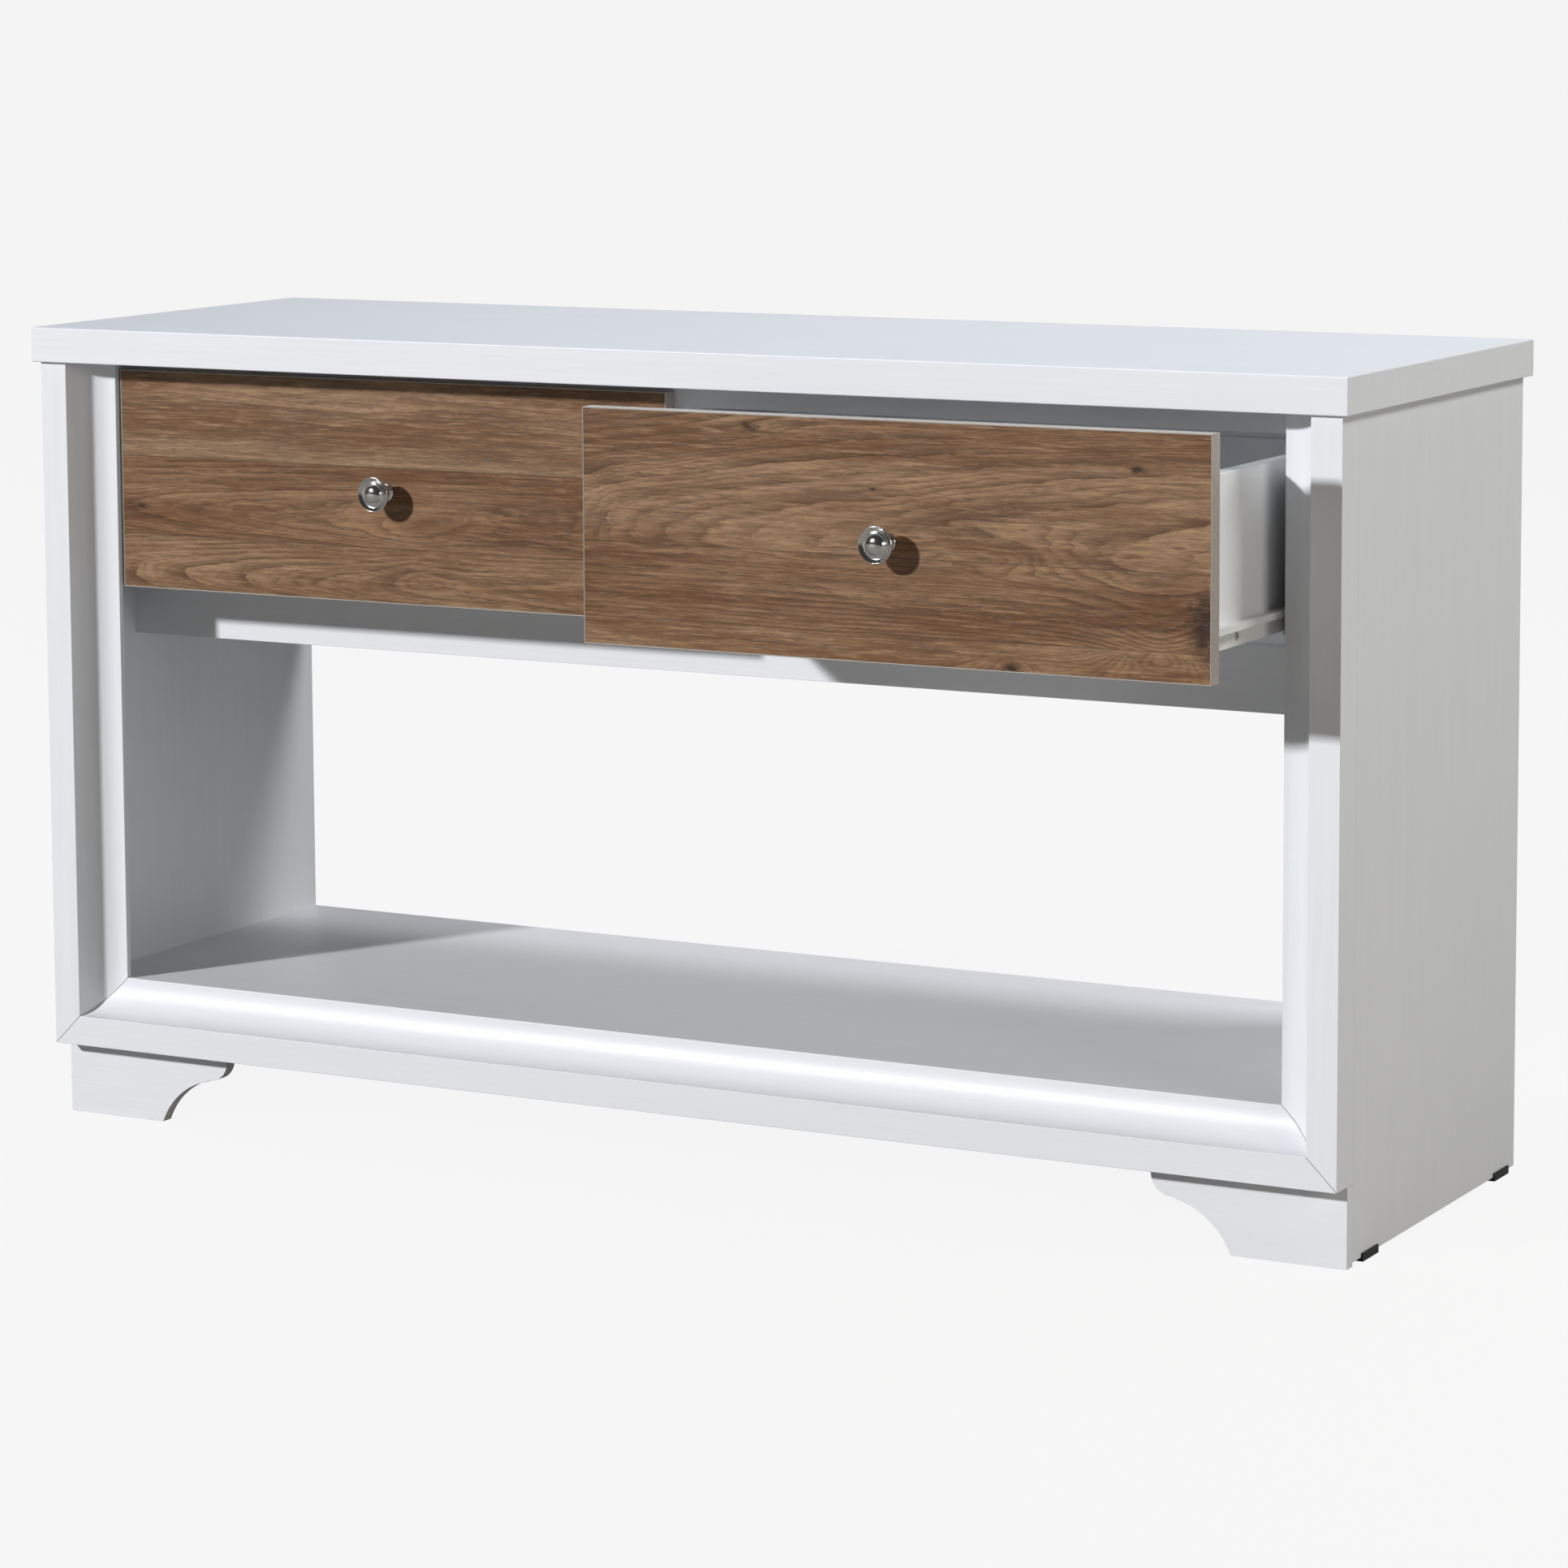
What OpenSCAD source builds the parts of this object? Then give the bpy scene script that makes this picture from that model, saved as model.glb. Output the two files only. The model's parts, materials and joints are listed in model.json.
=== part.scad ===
// Console table with two inset drawers, an open bay and a low shelf.
// Millimetres. X runs along the table, -Y is the front, Z is up from the floor.
// The origin is on the floor, midway across the table and midway between the
// open drawer's knob and the back edge of the top.

/* [Overall] */
// Length of the top
top_w = 1220; // [900:1:1600]
// Depth of the top, front to back
top_d = 405; // [340:1:500]
// Height of the table
table_h = 695; // [640:1:900]
// Thickness of the top
top_t = 30; // [18:1:40]
// Thickness of the carcass boards
board_t = 15; // [12:1:20]

/* [Overhangs] */
// Overhang of the top past each side panel
side_overhang = 6; // [0:1:20]
// Overhang of the top past the face of the front frame
front_overhang = 5; // [0:1:20]
// Overhang of the top past the back of the side panels
back_overhang = 8; // [0:1:20]

/* [Front frame] */
// Width of the flat outer band of the moulding
flat_w = 26; // [15:1:40]
// Radius of the cove in the moulding
cove_r = 28; // [15:1:35]
// Width of the narrow inner land of the moulding
land_w = 4; // [2:1:10]
// Thickness of the inner land of the moulding
land_t = 5.5; // [4:0.5:10]

/* [Bracket feet] */
// Height of the feet, up to the underside of the front frame
foot_h = 65; // [50:1:100]
// Thickness of the foot boards
foot_t = 12; // [9:1:18]
// Length of a foot along its top edge
foot_l = 166; // [130:1:220]
// Length of the flat that stands on the floor
heel_l = 97.5; // [60:0.5:110]
// Radius of the scooped edge of a foot
scoop_r = 65; // [55:1:90]
// Radius of the rounded ear of a foot
ear_r = 18; // [10:1:20]
// Height of the underside of the ear
ear_z = 41.5; // [30:0.5:42]

/* [Glides] */
// Thickness of a glide under the side panel
glide_t = 3; // [2:0.5:6]
// Length of a glide
glide_l = 33; // [20:1:50]
// Height of the glide's lips
glide_lip_h = 4; // [2:0.5:8]
// Distance from a glide to the panel's front or back edge
glide_inset = 17; // [5:1:60]

/* [Shelf and rails] */
// Step of the shelf below the upper edge of the base moulding
shelf_drop = 0.5; // [0:0.1:2]
// Height of the rails under the drawers
rail_h = 54; // [40:1:80]
// Distance of the front rail behind the front edge of the top
rail_setback = 116.5; // [60:0.5:150]
// Height of the rail at the back under the shelf
plinth_h = 60; // [30:1:80]
// Height of the stretcher above the drawers
stretcher_h = 20; // [15:1:30]
// Depth of the stretcher above the drawers
stretcher_d = 60; // [40:1:100]
// Thickness of the back panel
back_t = 5; // [3:0.5:9]
// Distance of the back panel in front of the back of the side panels
back_inset = 3; // [0:0.5:10]

/* [Drawers] */
// Thickness of the drawer fronts
front_t = 15; // [12:1:20]
// Thickness of the edge band round a drawer front
band_t = 1; // [0.5:0.1:2]
// Depth of the drawer fronts behind the inner land of the frame
front_recess = 4; // [0:0.5:8]
// Gap between a drawer front and the frame beside it
side_gap = 2.5; // [1.5:0.5:5]
// Gap between the two drawer fronts
middle_gap = 3; // [2:0.5:6]
// Gap between the drawer fronts and the top
top_gap = 7; // [3:0.5:12]
// Height of the drawer fronts
front_h = 189; // [150:1:195]
// Height of the drawer box above the lower edge of its front
box_rise = 23; // [18:1:30]
// Height of the drawer box
box_h = 133; // [90:1:135]
// Depth of the drawer box
box_d = 300; // [250:1:320]
// Thickness of the drawer box boards
box_t = 12; // [9:1:15]
// Thickness of the drawer bottom
bottom_t = 3; // [3:0.5:6]
// Height of the drawer bottom above the lower edge of the box
bottom_rise = 10; // [6:1:20]
// Depth of the grooves that hold the drawer bottom
groove_d = 4; // [3:0.5:6]
// Distance that the right drawer stands open
drawer_open = 139; // [0:1:200]
// Gap between the closed front and the carcass behind it
stop_gap = 1; // [0.5:0.5:3]

/* [Knobs] */
// Diameter of the knob
knob_d = 30; // [20:1:38]
// Projection of the knob from the drawer front
knob_l = 25; // [20:1:35]
// Diameter of the knob's neck
neck_d = 11; // [9:1:16]
// Diameter of the knob's foot
knob_foot_d = 16; // [12:1:24]

/* [Roller runners] */
// Width of the space for a runner beside the drawer box
runner_gap = 12.5; // [12.5:0.5:15]
// Thickness of the runner steel
steel_t = 1.2; // [1:0.1:1.5]
// Height of the drawer runner above the lower edge of the box
drawer_runner_h = 18; // [17:0.5:22]
// Drop of the cabinet runner below the lower edge of the box
cabinet_runner_drop = 4; // [3.5:0.5:6]
// Radius of the rollers
roller_r = 8; // [6:0.5:8]
// Width of the rollers
roller_w = 4; // [3:0.5:4.5]
// Radius of the roller pins
pin_r = 2; // [1.5:0.1:2.5]
// Radial clearance of a roller on its pin
pin_gap = 0.05; // [0.01:0.01:0.1]

/* [Hidden] */
$fn = 64;
eps = 1;                       // how far a cutter runs past the face it cuts
case_rise = 1;                 // step of the case above the lower edge of the fronts

// Heights
top_z = table_h - top_t;       // underside of the top
moulding_w = flat_w + cove_r + land_w;
moulding_t = cove_r + land_t;
shelf_top = foot_h + moulding_w - shelf_drop;
shelf_z = shelf_top - board_t;
front_top = top_z - top_gap;
front_z = front_top - front_h;
box_z = front_z + box_rise;
case_z = front_z + case_rise;  // lower edge of the divider and the case sides
rail_z = case_z - rail_h;      // lower edge of the drawer rails
stretcher_z = top_z - stretcher_h;

// Depths: Y of the main faces
open_reach = drawer_open + knob_l - front_overhang - cove_r - front_recess;
top_y = (open_reach - top_d) / 2;
back_y = top_y + top_d;
frame_y = top_y + front_overhang;
panel_y = frame_y + moulding_t;          // front edge of the side panels
panel_back_y = back_y - back_overhang;
back_panel_y = panel_back_y - back_inset - back_t;
face_y = frame_y + cove_r + front_recess; // face of a closed drawer front
front_back_y = face_y + front_t;
carcass_y = front_back_y + stop_gap;     // front of the divider and the stretcher
rail_y = top_y + rail_setback;
box_back_y = front_back_y + box_d;

// Widths, as distances from the middle of the table
panel_x = top_w / 2 - side_overhang;     // outer face of a side panel
inside_x = panel_x - board_t;            // inner face of a side panel
opening_x = panel_x - moulding_w;        // inner edge of a stile
front_x1 = opening_x - side_gap;         // outer edge of a drawer front
front_x0 = middle_gap / 2;               // inner edge of a drawer front
box_x1 = opening_x - runner_gap;         // outer face of a drawer box
box_x0 = board_t / 2 + runner_gap;       // inner face of a drawer box
knob_z = (front_z + front_top) / 2;
knob_x = (front_x0 + front_x1) / 2;

// Runners: u is the distance out from the box side, v the height above the box
drawer_lip_u = 9.5;            // outer face of the drawer runner's lip
drawer_lip_h = 5.5;            // height of that lip
ledge_u = -10;                 // reach of the ledge under the box side
cabinet_lip_u = 2.2;           // inner face of the cabinet runner's lip
cabinet_lip_h = 4;             // height of that lip
return_u = 10;                 // inner end of the cabinet runner's top return
roller_gap = 0.3;              // gap between a roller and the steel it runs on
front_roller_v = drawer_runner_h - steel_t - roller_gap - roller_r;
rear_roller_v = -cabinet_runner_drop + steel_t + roller_gap + roller_r;
roller_inset = 10;             // from a roller's pin to the end of its runner
front_roller_y = carcass_y + roller_inset;
rear_roller_y = box_back_y - roller_inset;
cabinet_runner_y = carcass_y;
front_roller_u = 3.8;          // inner face of a front roller
rear_roller_u = 3.9;           // inner face of a rear roller
pin_head_r = 3.2;
pin_head_t = 0.8;
pin_slack = 0.2;               // end play between a roller and its pin's heads
runner_l = box_d;

// Fasteners
cam_r = 7.5;
cam_depth = 12;
cam_inset = 34;                // from the board's end to the cam's centre
bolt_bite = 4;                 // from the cam's centre to the bolt's head
bolt_r = 3.5;
bolt_depth = 11;               // how far a bolt goes into the side panel
dowel_r = 4;
dowel_l = 30;
dowel_depth = 10;              // how far a dowel goes into the side panel or the top
screw_r = 1.75;
screw_head_r = 3.4;
screw_head_t = 1.2;
screw_l = 11;
runner_screw_l = 7;            // length of the screws that hold a cabinet runner
slot_offset = 8;               // from a runner screw to the spare hole behind it
knob_screw_r = 2;
knob_screw_hole_r = 2.25;
knob_screw_grip = 10;          // how far the screw goes into the knob
knob_screw_head = [4, 2.4];    // radius and thickness of the screw's head
knob_rim = 2;                  // radius of the knob's rolled rim
knob_dome_r = 18;              // radius of the knob's domed face
knob_disc_t = 5;               // depth of the knob's disc behind its face
knob_foot_t = 2;               // thickness of the knob's foot
block_w = 40;                  // width of the blocks behind the feet
block_z = 8;                   // height of the blocks above the floor
cusp_in = 4;                   // from the ear's centre to the cusp of the scoop
cusp_drop = 1.2;               // height of the cusp below the ear
cusp_edge = 0.5;               // blunt edge of the cusp
glide_lip = 2;                 // thickness of a glide's lips
glide_bevel = [0.8, 1];        // width and height of the bevel on a glide's lips
cam_edge = 60;                 // from a shelf cam to the front or back of its panel
dowel_edge = 110;              // from a shelf dowel to the front or back of its panel
top_dowel_edge = [120, 60];    // from a top dowel to the front and the back
end_screw = 60;                // from a stretcher screw to an end or the middle
back_screw_edge = 30;          // from a back panel screw to the case's edge
shelf_cam_y = [panel_y + cam_edge, panel_back_y - cam_edge];
shelf_dowel_y = [panel_y + dowel_edge, panel_back_y - dowel_edge];
case_cam_z = rail_z + rail_h / 2;
top_dowel_y = [panel_y + top_dowel_edge[0], back_panel_y - top_dowel_edge[1]];
top_dowel_x = [-opening_x - board_t / 2, 0, opening_x + board_t / 2];
stretcher_screw_x = [-opening_x + end_screw, -end_screw, end_screw, opening_x - end_screw];
back_screw_x = [-opening_x - board_t / 2, 0, opening_x + board_t / 2];
back_screw_z = [case_z + back_screw_edge, (case_z + top_z) / 2, top_z - back_screw_edge];
runner_screw_y = [52, 150, 262];         // along a runner, from its front end

white = "#e9ebed";
walnut = "#8f6e54";
taupe = "#8a7d72";
steel = "#d8d8d4";

// ---------- helpers ----------

// A board between two corners
module board(a, b) {
    translate(a) cube(b - a);
}

// Copies for the left and the right side
module both_sides() {
    for (s = [0, 1]) mirror([s, 0, 0]) children();
}

// Puts a drawer drawn at the right and closed in its place
module drawer_place(right) {
    if (right) translate([0, -drawer_open, 0]) children();
    else mirror([1, 0, 0]) children();
}

// A cylinder along X from x0 to x1
module rod_x(x0, x1, y, z, r) {
    translate([x0, y, z]) rotate([0, 90, 0]) cylinder(h = x1 - x0, r = r);
}

// A cylinder along Y from y0 to y1
module rod_y(x, y0, y1, z, r) {
    translate([x, y0, z]) rotate([-90, 0, 0]) cylinder(h = y1 - y0, r = r);
}

// A cylinder along Z from z0 to z1
module rod_z(x, y, z0, z1, r) {
    translate([x, y, z0]) cylinder(h = z1 - z0, r = r);
}

// ---------- carcass ----------

module top_panel() {
    color(white) difference() {
        board([-top_w / 2, top_y, top_z], [top_w / 2, back_y, table_h]);
        top_dowel_holes();
        for (x = stretcher_screw_x) rod_z(x, stretcher_screw_y(), top_z - eps, top_z + screw_l, screw_r);
    }
}

function stretcher_screw_y() = carcass_y + stretcher_d / 2;

module top_dowel_holes() {
    for (x = top_dowel_x, y = top_dowel_y)
        rod_z(x, y, top_z - dowel_l + dowel_depth, top_z + dowel_depth, dowel_r);
}

module side_panel() {
    color(white) difference() {
        board([inside_x, panel_y, glide_t], [panel_x, panel_back_y, top_z]);
        side_fixings();
    }
}

// Bolts and dowels that enter the right side panel
module side_fixings() {
    side_bolts();
    side_dowels();
}

module side_bolts() {
    for (y = shelf_cam_y) bolt_at(y, shelf_z + board_t / 2);
    for (y = rail_bolt_y()) bolt_at(y, case_cam_z);
}

module side_dowels() {
    for (y = shelf_dowel_y)
        rod_x(inside_x - dowel_l + dowel_depth, inside_x + dowel_depth, y, shelf_z + board_t / 2, dowel_r);
}

function rail_bolt_y() = [rail_y + board_t / 2, back_panel_y - board_t / 2];

module bolt_at(y, z) {
    rod_x(inside_x - cam_inset + bolt_bite, inside_x + bolt_depth, y, z, bolt_r);
}

// Cam locks at the right ends of the shelf and the rails
module side_cams() {
    x = inside_x - cam_inset;
    for (y = shelf_cam_y) rod_z(x, y, shelf_z, shelf_z + cam_depth, cam_r);
    rod_y(x, rail_y + board_t - cam_depth, rail_y + board_t, case_cam_z, cam_r);
    rod_y(x, back_panel_y - board_t, back_panel_y - board_t + cam_depth, case_cam_z, cam_r);
}

module lower_shelf() {
    color(white) difference() {
        board([-inside_x, panel_y, shelf_z], [inside_x, panel_back_y, shelf_top]);
        both_sides() side_fixings();
        both_sides() side_cams();
    }
}

module plinth_rail() {
    y = panel_back_y - board_t - back_inset;
    color(white) board([-inside_x, y, shelf_z - plinth_h], [inside_x, y + board_t, shelf_z]);
}

// A rail between the side panels that carries the drawer case
module drawer_rail(y) {
    color(white) difference() {
        board([-inside_x, y, rail_z], [inside_x, y + board_t, case_z]);
        both_sides() side_fixings();
        both_sides() side_cams();
    }
}

module front_stretcher() {
    color(white) difference() {
        board([-opening_x, carcass_y, stretcher_z], [opening_x, carcass_y + stretcher_d, top_z]);
        for (x = stretcher_screw_x) rod_z(x, stretcher_screw_y(), stretcher_z - eps, top_z + eps, screw_r);
    }
}

module stretcher_screws() {
    color(steel) for (x = stretcher_screw_x) {
        rod_z(x, stretcher_screw_y(), stretcher_z, top_z + screw_l, screw_r);
        rod_z(x, stretcher_screw_y(), stretcher_z - screw_head_t, stretcher_z, screw_head_r);
    }
}

module back_panel() {
    color(white) difference() {
        board([-inside_x, back_panel_y, rail_z], [inside_x, back_panel_y + back_t, top_z]);
        back_screw_shanks();
    }
}

module back_screw_shanks() {
    for (x = back_screw_x, z = back_screw_z)
        rod_y(x, back_panel_y - screw_l, back_panel_y + back_t, z, screw_r);
}

module back_panel_screws() {
    color(steel) {
        back_screw_shanks();
        for (x = back_screw_x, z = back_screw_z)
            rod_y(x, back_panel_y + back_t, back_panel_y + back_t + screw_head_t, z, screw_head_r);
    }
}

module center_divider() {
    color(white) difference() {
        board([-board_t / 2, carcass_y, case_z], [board_t / 2, back_panel_y, top_z]);
        board([-board_t, carcass_y - eps, stretcher_z], [board_t, carcass_y + stretcher_d, top_z + eps]);
        top_dowel_holes();
        back_screw_shanks();
        both_sides() divider_runner_holes();
    }
}

module divider_runner_holes() {
    cabinet_screw_shanks(board_t / 2, -1);
}

module case_side() {
    color(white) difference() {
        board([opening_x, panel_y, case_z], [opening_x + board_t, back_panel_y, top_z]);
        top_dowel_holes();
        back_screw_shanks();
        cabinet_screw_shanks(opening_x, 1);
    }
}

// Shanks of the screws that hold a cabinet runner, into the board behind x
module cabinet_screw_shanks(x, out) {
    for (d = runner_screw_y) {
        x0 = out > 0 ? x - steel_t : x - runner_screw_l + steel_t;
        rod_x(x0, x0 + runner_screw_l, cabinet_runner_y + d, cabinet_screw_z(), screw_r);
    }
}

function cabinet_screw_z() = box_z + (drawer_runner_h - cabinet_runner_drop) / 2;

// ---------- front frame ----------

// Section of the moulding: x runs in from the outer edge, y runs back
module moulding_section() {
    difference() {
        square([moulding_w, moulding_t]);
        translate([flat_w + cove_r, 0]) circle(r = cove_r);
        translate([flat_w + cove_r, -eps]) square([land_w + eps, cove_r + eps]);
    }
}

// Upright of the frame at the left, mitred at its foot
module stile_moulding() {
    w = moulding_w + eps;
    color(white) difference() {
        translate([-panel_x, frame_y, foot_h])
            linear_extrude(top_z - foot_h) moulding_section();
        mitre_cutter([[-eps, -eps], [w, -eps], [w, w]]);
    }
}

module base_moulding() {
    w = moulding_w + eps;
    color(white) difference() {
        translate([panel_x, frame_y, foot_h]) rotate([0, -90, 0])
            linear_extrude(2 * panel_x) moulding_section();
        both_sides() mitre_cutter([[-eps, -eps], [w, w], [-eps, w]]);
    }
}

// A prism through the frame at its left foot corner
module mitre_cutter(outline) {
    translate([-panel_x, panel_y + eps, foot_h]) rotate([90, 0, 0])
        linear_extrude(moulding_t + 2 * eps) polygon(outline);
}

// ---------- feet ----------

// Centre of a circle of radius r through p and q, below the line from p to q
function scoop_centre(p, q, r) =
    let (m = (p + q) / 2, d = q - p, h = norm(d) / 2)
    m + [d.y, -d.x] / norm(d) * sqrt(r * r - h * h);

// Outline of a foot: x runs in from the side of the table, y is the height
module foot_outline() {
    ear = [foot_l - ear_r, ear_z + ear_r];
    cusp = [ear.x - cusp_in, ear_z - cusp_drop];
    difference() {
        polygon([[0, 0], [cusp.x, 0], cusp, [ear.x + cusp_in / 2, ear_z + cusp_in / 4],
                 [ear.x + cusp_in / 2, foot_h], [0, foot_h]]);
        translate(scoop_centre([heel_l, 0], cusp - [0, cusp_edge], scoop_r)) circle(r = scoop_r, $fn = 128);
    }
    intersection() {
        translate(ear) circle(r = ear_r);
        translate([ear.x, 0]) square([ear_r + eps, ear.y]);
    }
    translate([ear.x, ear.y]) square([ear_r, foot_h - ear.y]);
}

module bracket_foot() {
    color(white) translate([-panel_x, panel_y, 0]) rotate([90, 0, 0])
        linear_extrude(foot_t) foot_outline();
}

// Square block in the corner behind each foot, under the shelf
module foot_blocks() {
    color("#c9b08a") both_sides()
        board([inside_x - block_w, panel_y, block_z], [inside_x, panel_y + block_w, shelf_z]);
}

// Plastic channel that clips over the lower edge of a side panel
module glides() {
    lip = glide_lip;
    h = glide_t + glide_lip_h;
    b = glide_bevel;
    outline = [
        [-lip, 0], [board_t + lip, 0], [board_t + lip, h - b.y], [board_t + lip - b.x, h], [board_t, h],
        [board_t, glide_t], [0, glide_t], [0, h], [b.x - lip, h], [-lip, h - b.y]
    ];
    glide_y = [panel_y + glide_inset, panel_back_y - glide_inset - glide_l];
    color("#17181a") both_sides() for (y = glide_y)
        translate([inside_x, y + glide_l, 0]) rotate([90, 0, 0])
            linear_extrude(glide_l) polygon(outline);
}

// ---------- carcass fasteners ----------

module cam_locks() {
    color("#b9bcc0") both_sides() difference() {
        side_cams();
        side_bolts();
    }
}

module cam_bolts() {
    color("#c8c9c4") both_sides() side_bolts();
}

module dowels() {
    color("#caa97a") {
        top_dowel_holes();
        both_sides() side_dowels();
    }
}

// ---------- runners ----------

// Section of the drawer runner: x is u, y is v
module drawer_runner_section() {
    translate([ledge_u, -steel_t]) square([steel_t - ledge_u, steel_t]);
    translate([0, -steel_t]) square([steel_t, drawer_runner_h + steel_t]);
    translate([0, drawer_runner_h - steel_t]) square([drawer_lip_u, steel_t]);
    translate([drawer_lip_u - steel_t, drawer_runner_h - drawer_lip_h]) square([steel_t, drawer_lip_h]);
}

// Section of the cabinet runner: x is u, y is v
module cabinet_runner_section() {
    h = drawer_runner_h + cabinet_runner_drop;
    translate([cabinet_lip_u, -cabinet_runner_drop]) {
        square([runner_gap - cabinet_lip_u, steel_t]);
        square([steel_t, cabinet_lip_h]);
    }
    translate([runner_gap - steel_t, -cabinet_runner_drop]) square([steel_t, h]);
    translate([return_u, drawer_runner_h - steel_t]) square([runner_gap - return_u, steel_t]);
}

// A runner section swept back along the box, u out from its face at x
module runner_sweep(x, out, y) {
    translate([x, y + runner_l, box_z]) mirror([out > 0 ? 0 : 1, 0, 0])
        rotate([90, 0, 0]) linear_extrude(runner_l) children();
}

// A rod across a runner, between two distances u0 and u1 from the box
module runner_rod(x, out, y, v, u0, u1, r) {
    translate([x, 0, 0]) mirror([out > 0 ? 0 : 1, 0, 0]) rod_x(u0, u1, y, box_z + v, r);
}

// Runner on the carcass, with its screws and the pin that its roller turns on
module cabinet_runner(x, out) {
    u0 = front_roller_u - pin_slack;
    u1 = front_roller_u + roller_w + pin_slack;
    web = runner_gap - steel_t;              // inner face of the runner's web
    v = (drawer_runner_h - cabinet_runner_drop) / 2;
    color(steel) {
        difference() {
            runner_sweep(x, out, cabinet_runner_y) cabinet_runner_section();
            for (d = runner_screw_y)
                runner_rod(x, out, cabinet_runner_y + d, v, web - eps, runner_gap + eps, screw_r);
        }
        for (d = runner_screw_y) {
            runner_rod(x, out, cabinet_runner_y + d, v, web, web + runner_screw_l, screw_r);
            runner_rod(x, out, cabinet_runner_y + d, v, web - screw_head_t, web, screw_head_r);
        }
        runner_rod(x, out, front_roller_y, front_roller_v, u0 - pin_head_t, u0, pin_head_r);
        runner_rod(x, out, front_roller_y, front_roller_v, u0, web, pin_r);
        runner_rod(x, out, front_roller_y, front_roller_v, u1, web, pin_head_r);
    }
}

// Runner on the drawer box, with the pin of its rear roller
module drawer_runner(x, out) {
    u0 = rear_roller_u - pin_slack;
    u1 = rear_roller_u + roller_w + pin_slack;
    color(steel) {
        difference() {
            runner_sweep(x, out, front_back_y) drawer_runner_section();
            for (d = runner_screw_y, hole = [0, slot_offset])
                runner_rod(x, out, front_back_y + d + hole, runner_screw_v(), -eps, steel_t + eps, screw_r);
        }
        runner_rod(x, out, rear_roller_y, rear_roller_v, steel_t, u0, pin_head_r);
        runner_rod(x, out, rear_roller_y, rear_roller_v, steel_t, u1, pin_r);
        runner_rod(x, out, rear_roller_y, rear_roller_v, u1, u1 + pin_head_t, pin_head_r);
    }
}

function runner_screw_v() = (drawer_runner_h - drawer_lip_h) / 2;

// Screws of both drawer runners of the right drawer
module runner_screws() {
    color("#c8c9c4") {
        runner_screw_row(box_x1, 1);
        runner_screw_row(box_x0, -1);
    }
}

module runner_screw_row(x, out) {
    tip = steel_t - screw_l;
    head = steel_t + screw_head_t;
    for (d = runner_screw_y) {
        runner_rod(x, out, front_back_y + d, runner_screw_v(), tip, steel_t, screw_r);
        runner_rod(x, out, front_back_y + d, runner_screw_v(), steel_t, head, screw_head_r);
    }
}

// A pair of rollers that turn on one line, at the two sides of a drawer
module roller_pair(y, v, u) {
    color("#f1f1ee") {
        roller(box_x1, 1, y, v, u);
        roller(box_x0, -1, y, v, u);
    }
}

module roller(x, out, y, v, u) {
    difference() {
        runner_rod(x, out, y, v, u, u + roller_w, roller_r);
        runner_rod(x, out, y, v, u - eps, u + roller_w + eps, pin_r + pin_gap);
    }
}

// ---------- drawers, drawn at the right and closed ----------

module drawer_front() {
    color(walnut) difference() {
        board([front_x0 + band_t, face_y, front_z + band_t],
              [front_x1 - band_t, front_back_y, front_top - band_t]);
        rod_y(knob_x, face_y - eps, front_back_y + eps, knob_z, knob_screw_hole_r);
    }
}

module edge_band() {
    color(taupe) difference() {
        board([front_x0, face_y, front_z], [front_x1, front_back_y, front_top]);
        board([front_x0 + band_t, face_y - eps, front_z + band_t],
              [front_x1 - band_t, front_back_y + eps, front_top - band_t]);
    }
}

// The drawer bottom, which also cuts its grooves
module box_bottom() {
    z = box_z + bottom_rise;
    color(white) board([box_x0 + box_t - groove_d, front_back_y + box_t - groove_d, z],
                       [box_x1 - box_t + groove_d, box_back_y, z + bottom_t]);
}

module box_front() {
    color(white) difference() {
        board([box_x0 + box_t, front_back_y, box_z], [box_x1 - box_t, front_back_y + box_t, box_z + box_h]);
        box_bottom();
        rod_y(knob_x, front_back_y - eps, front_back_y + box_t + eps, knob_z, knob_screw_hole_r);
    }
}

module box_back() {
    z = box_z + bottom_rise + bottom_t;
    color(white) board([box_x0 + box_t, box_back_y - box_t, z], [box_x1 - box_t, box_back_y, box_z + box_h]);
}

module box_side(x, out) {
    x0 = out > 0 ? x - box_t : x;
    color(white) difference() {
        board([x0, front_back_y, box_z], [x0 + box_t, box_back_y, box_z + box_h]);
        box_bottom();
        runner_screw_row(x, out);
    }
}

// Section of the knob: x is the radius, y the distance from the drawer front
module knob_section() {
    disc_y = knob_l - knob_disc_t;
    rim_x = knob_d / 2 - knob_rim;
    difference() {
        union() {
            square([knob_foot_d / 2, knob_foot_t]);
            square([neck_d / 2, disc_y]);
            polygon([[0, knob_l / 2 - knob_rim], [neck_d / 2, knob_l / 2 - knob_rim],
                     [rim_x + knob_rim / 2, disc_y - 1.5 * knob_rim], [rim_x + knob_rim / 2, disc_y], [0, disc_y]]);
            translate([rim_x, disc_y - knob_rim / 2]) circle(r = knob_rim, $fn = 32);
            intersection() {
                translate([0, knob_l - knob_dome_r]) circle(r = knob_dome_r);
                square([rim_x - knob_rim, knob_l]);
            }
        }
        translate([-knob_l, -knob_l]) square([knob_l, 3 * knob_l]);
        square([knob_screw_r, knob_screw_grip]);
    }
}

module knob() {
    color("#c6c8ca") translate([knob_x, face_y, knob_z]) rotate([90, 0, 0])
        rotate_extrude() knob_section();
}

module knob_screw() {
    y = front_back_y + box_t;
    color("#c8c9c4") {
        rod_y(knob_x, face_y - knob_screw_grip, y, knob_z, knob_screw_r);
        rod_y(knob_x, y, y + knob_screw_head.y, knob_z, knob_screw_head.x);
    }
}

// ---------- nodes ----------

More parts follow.
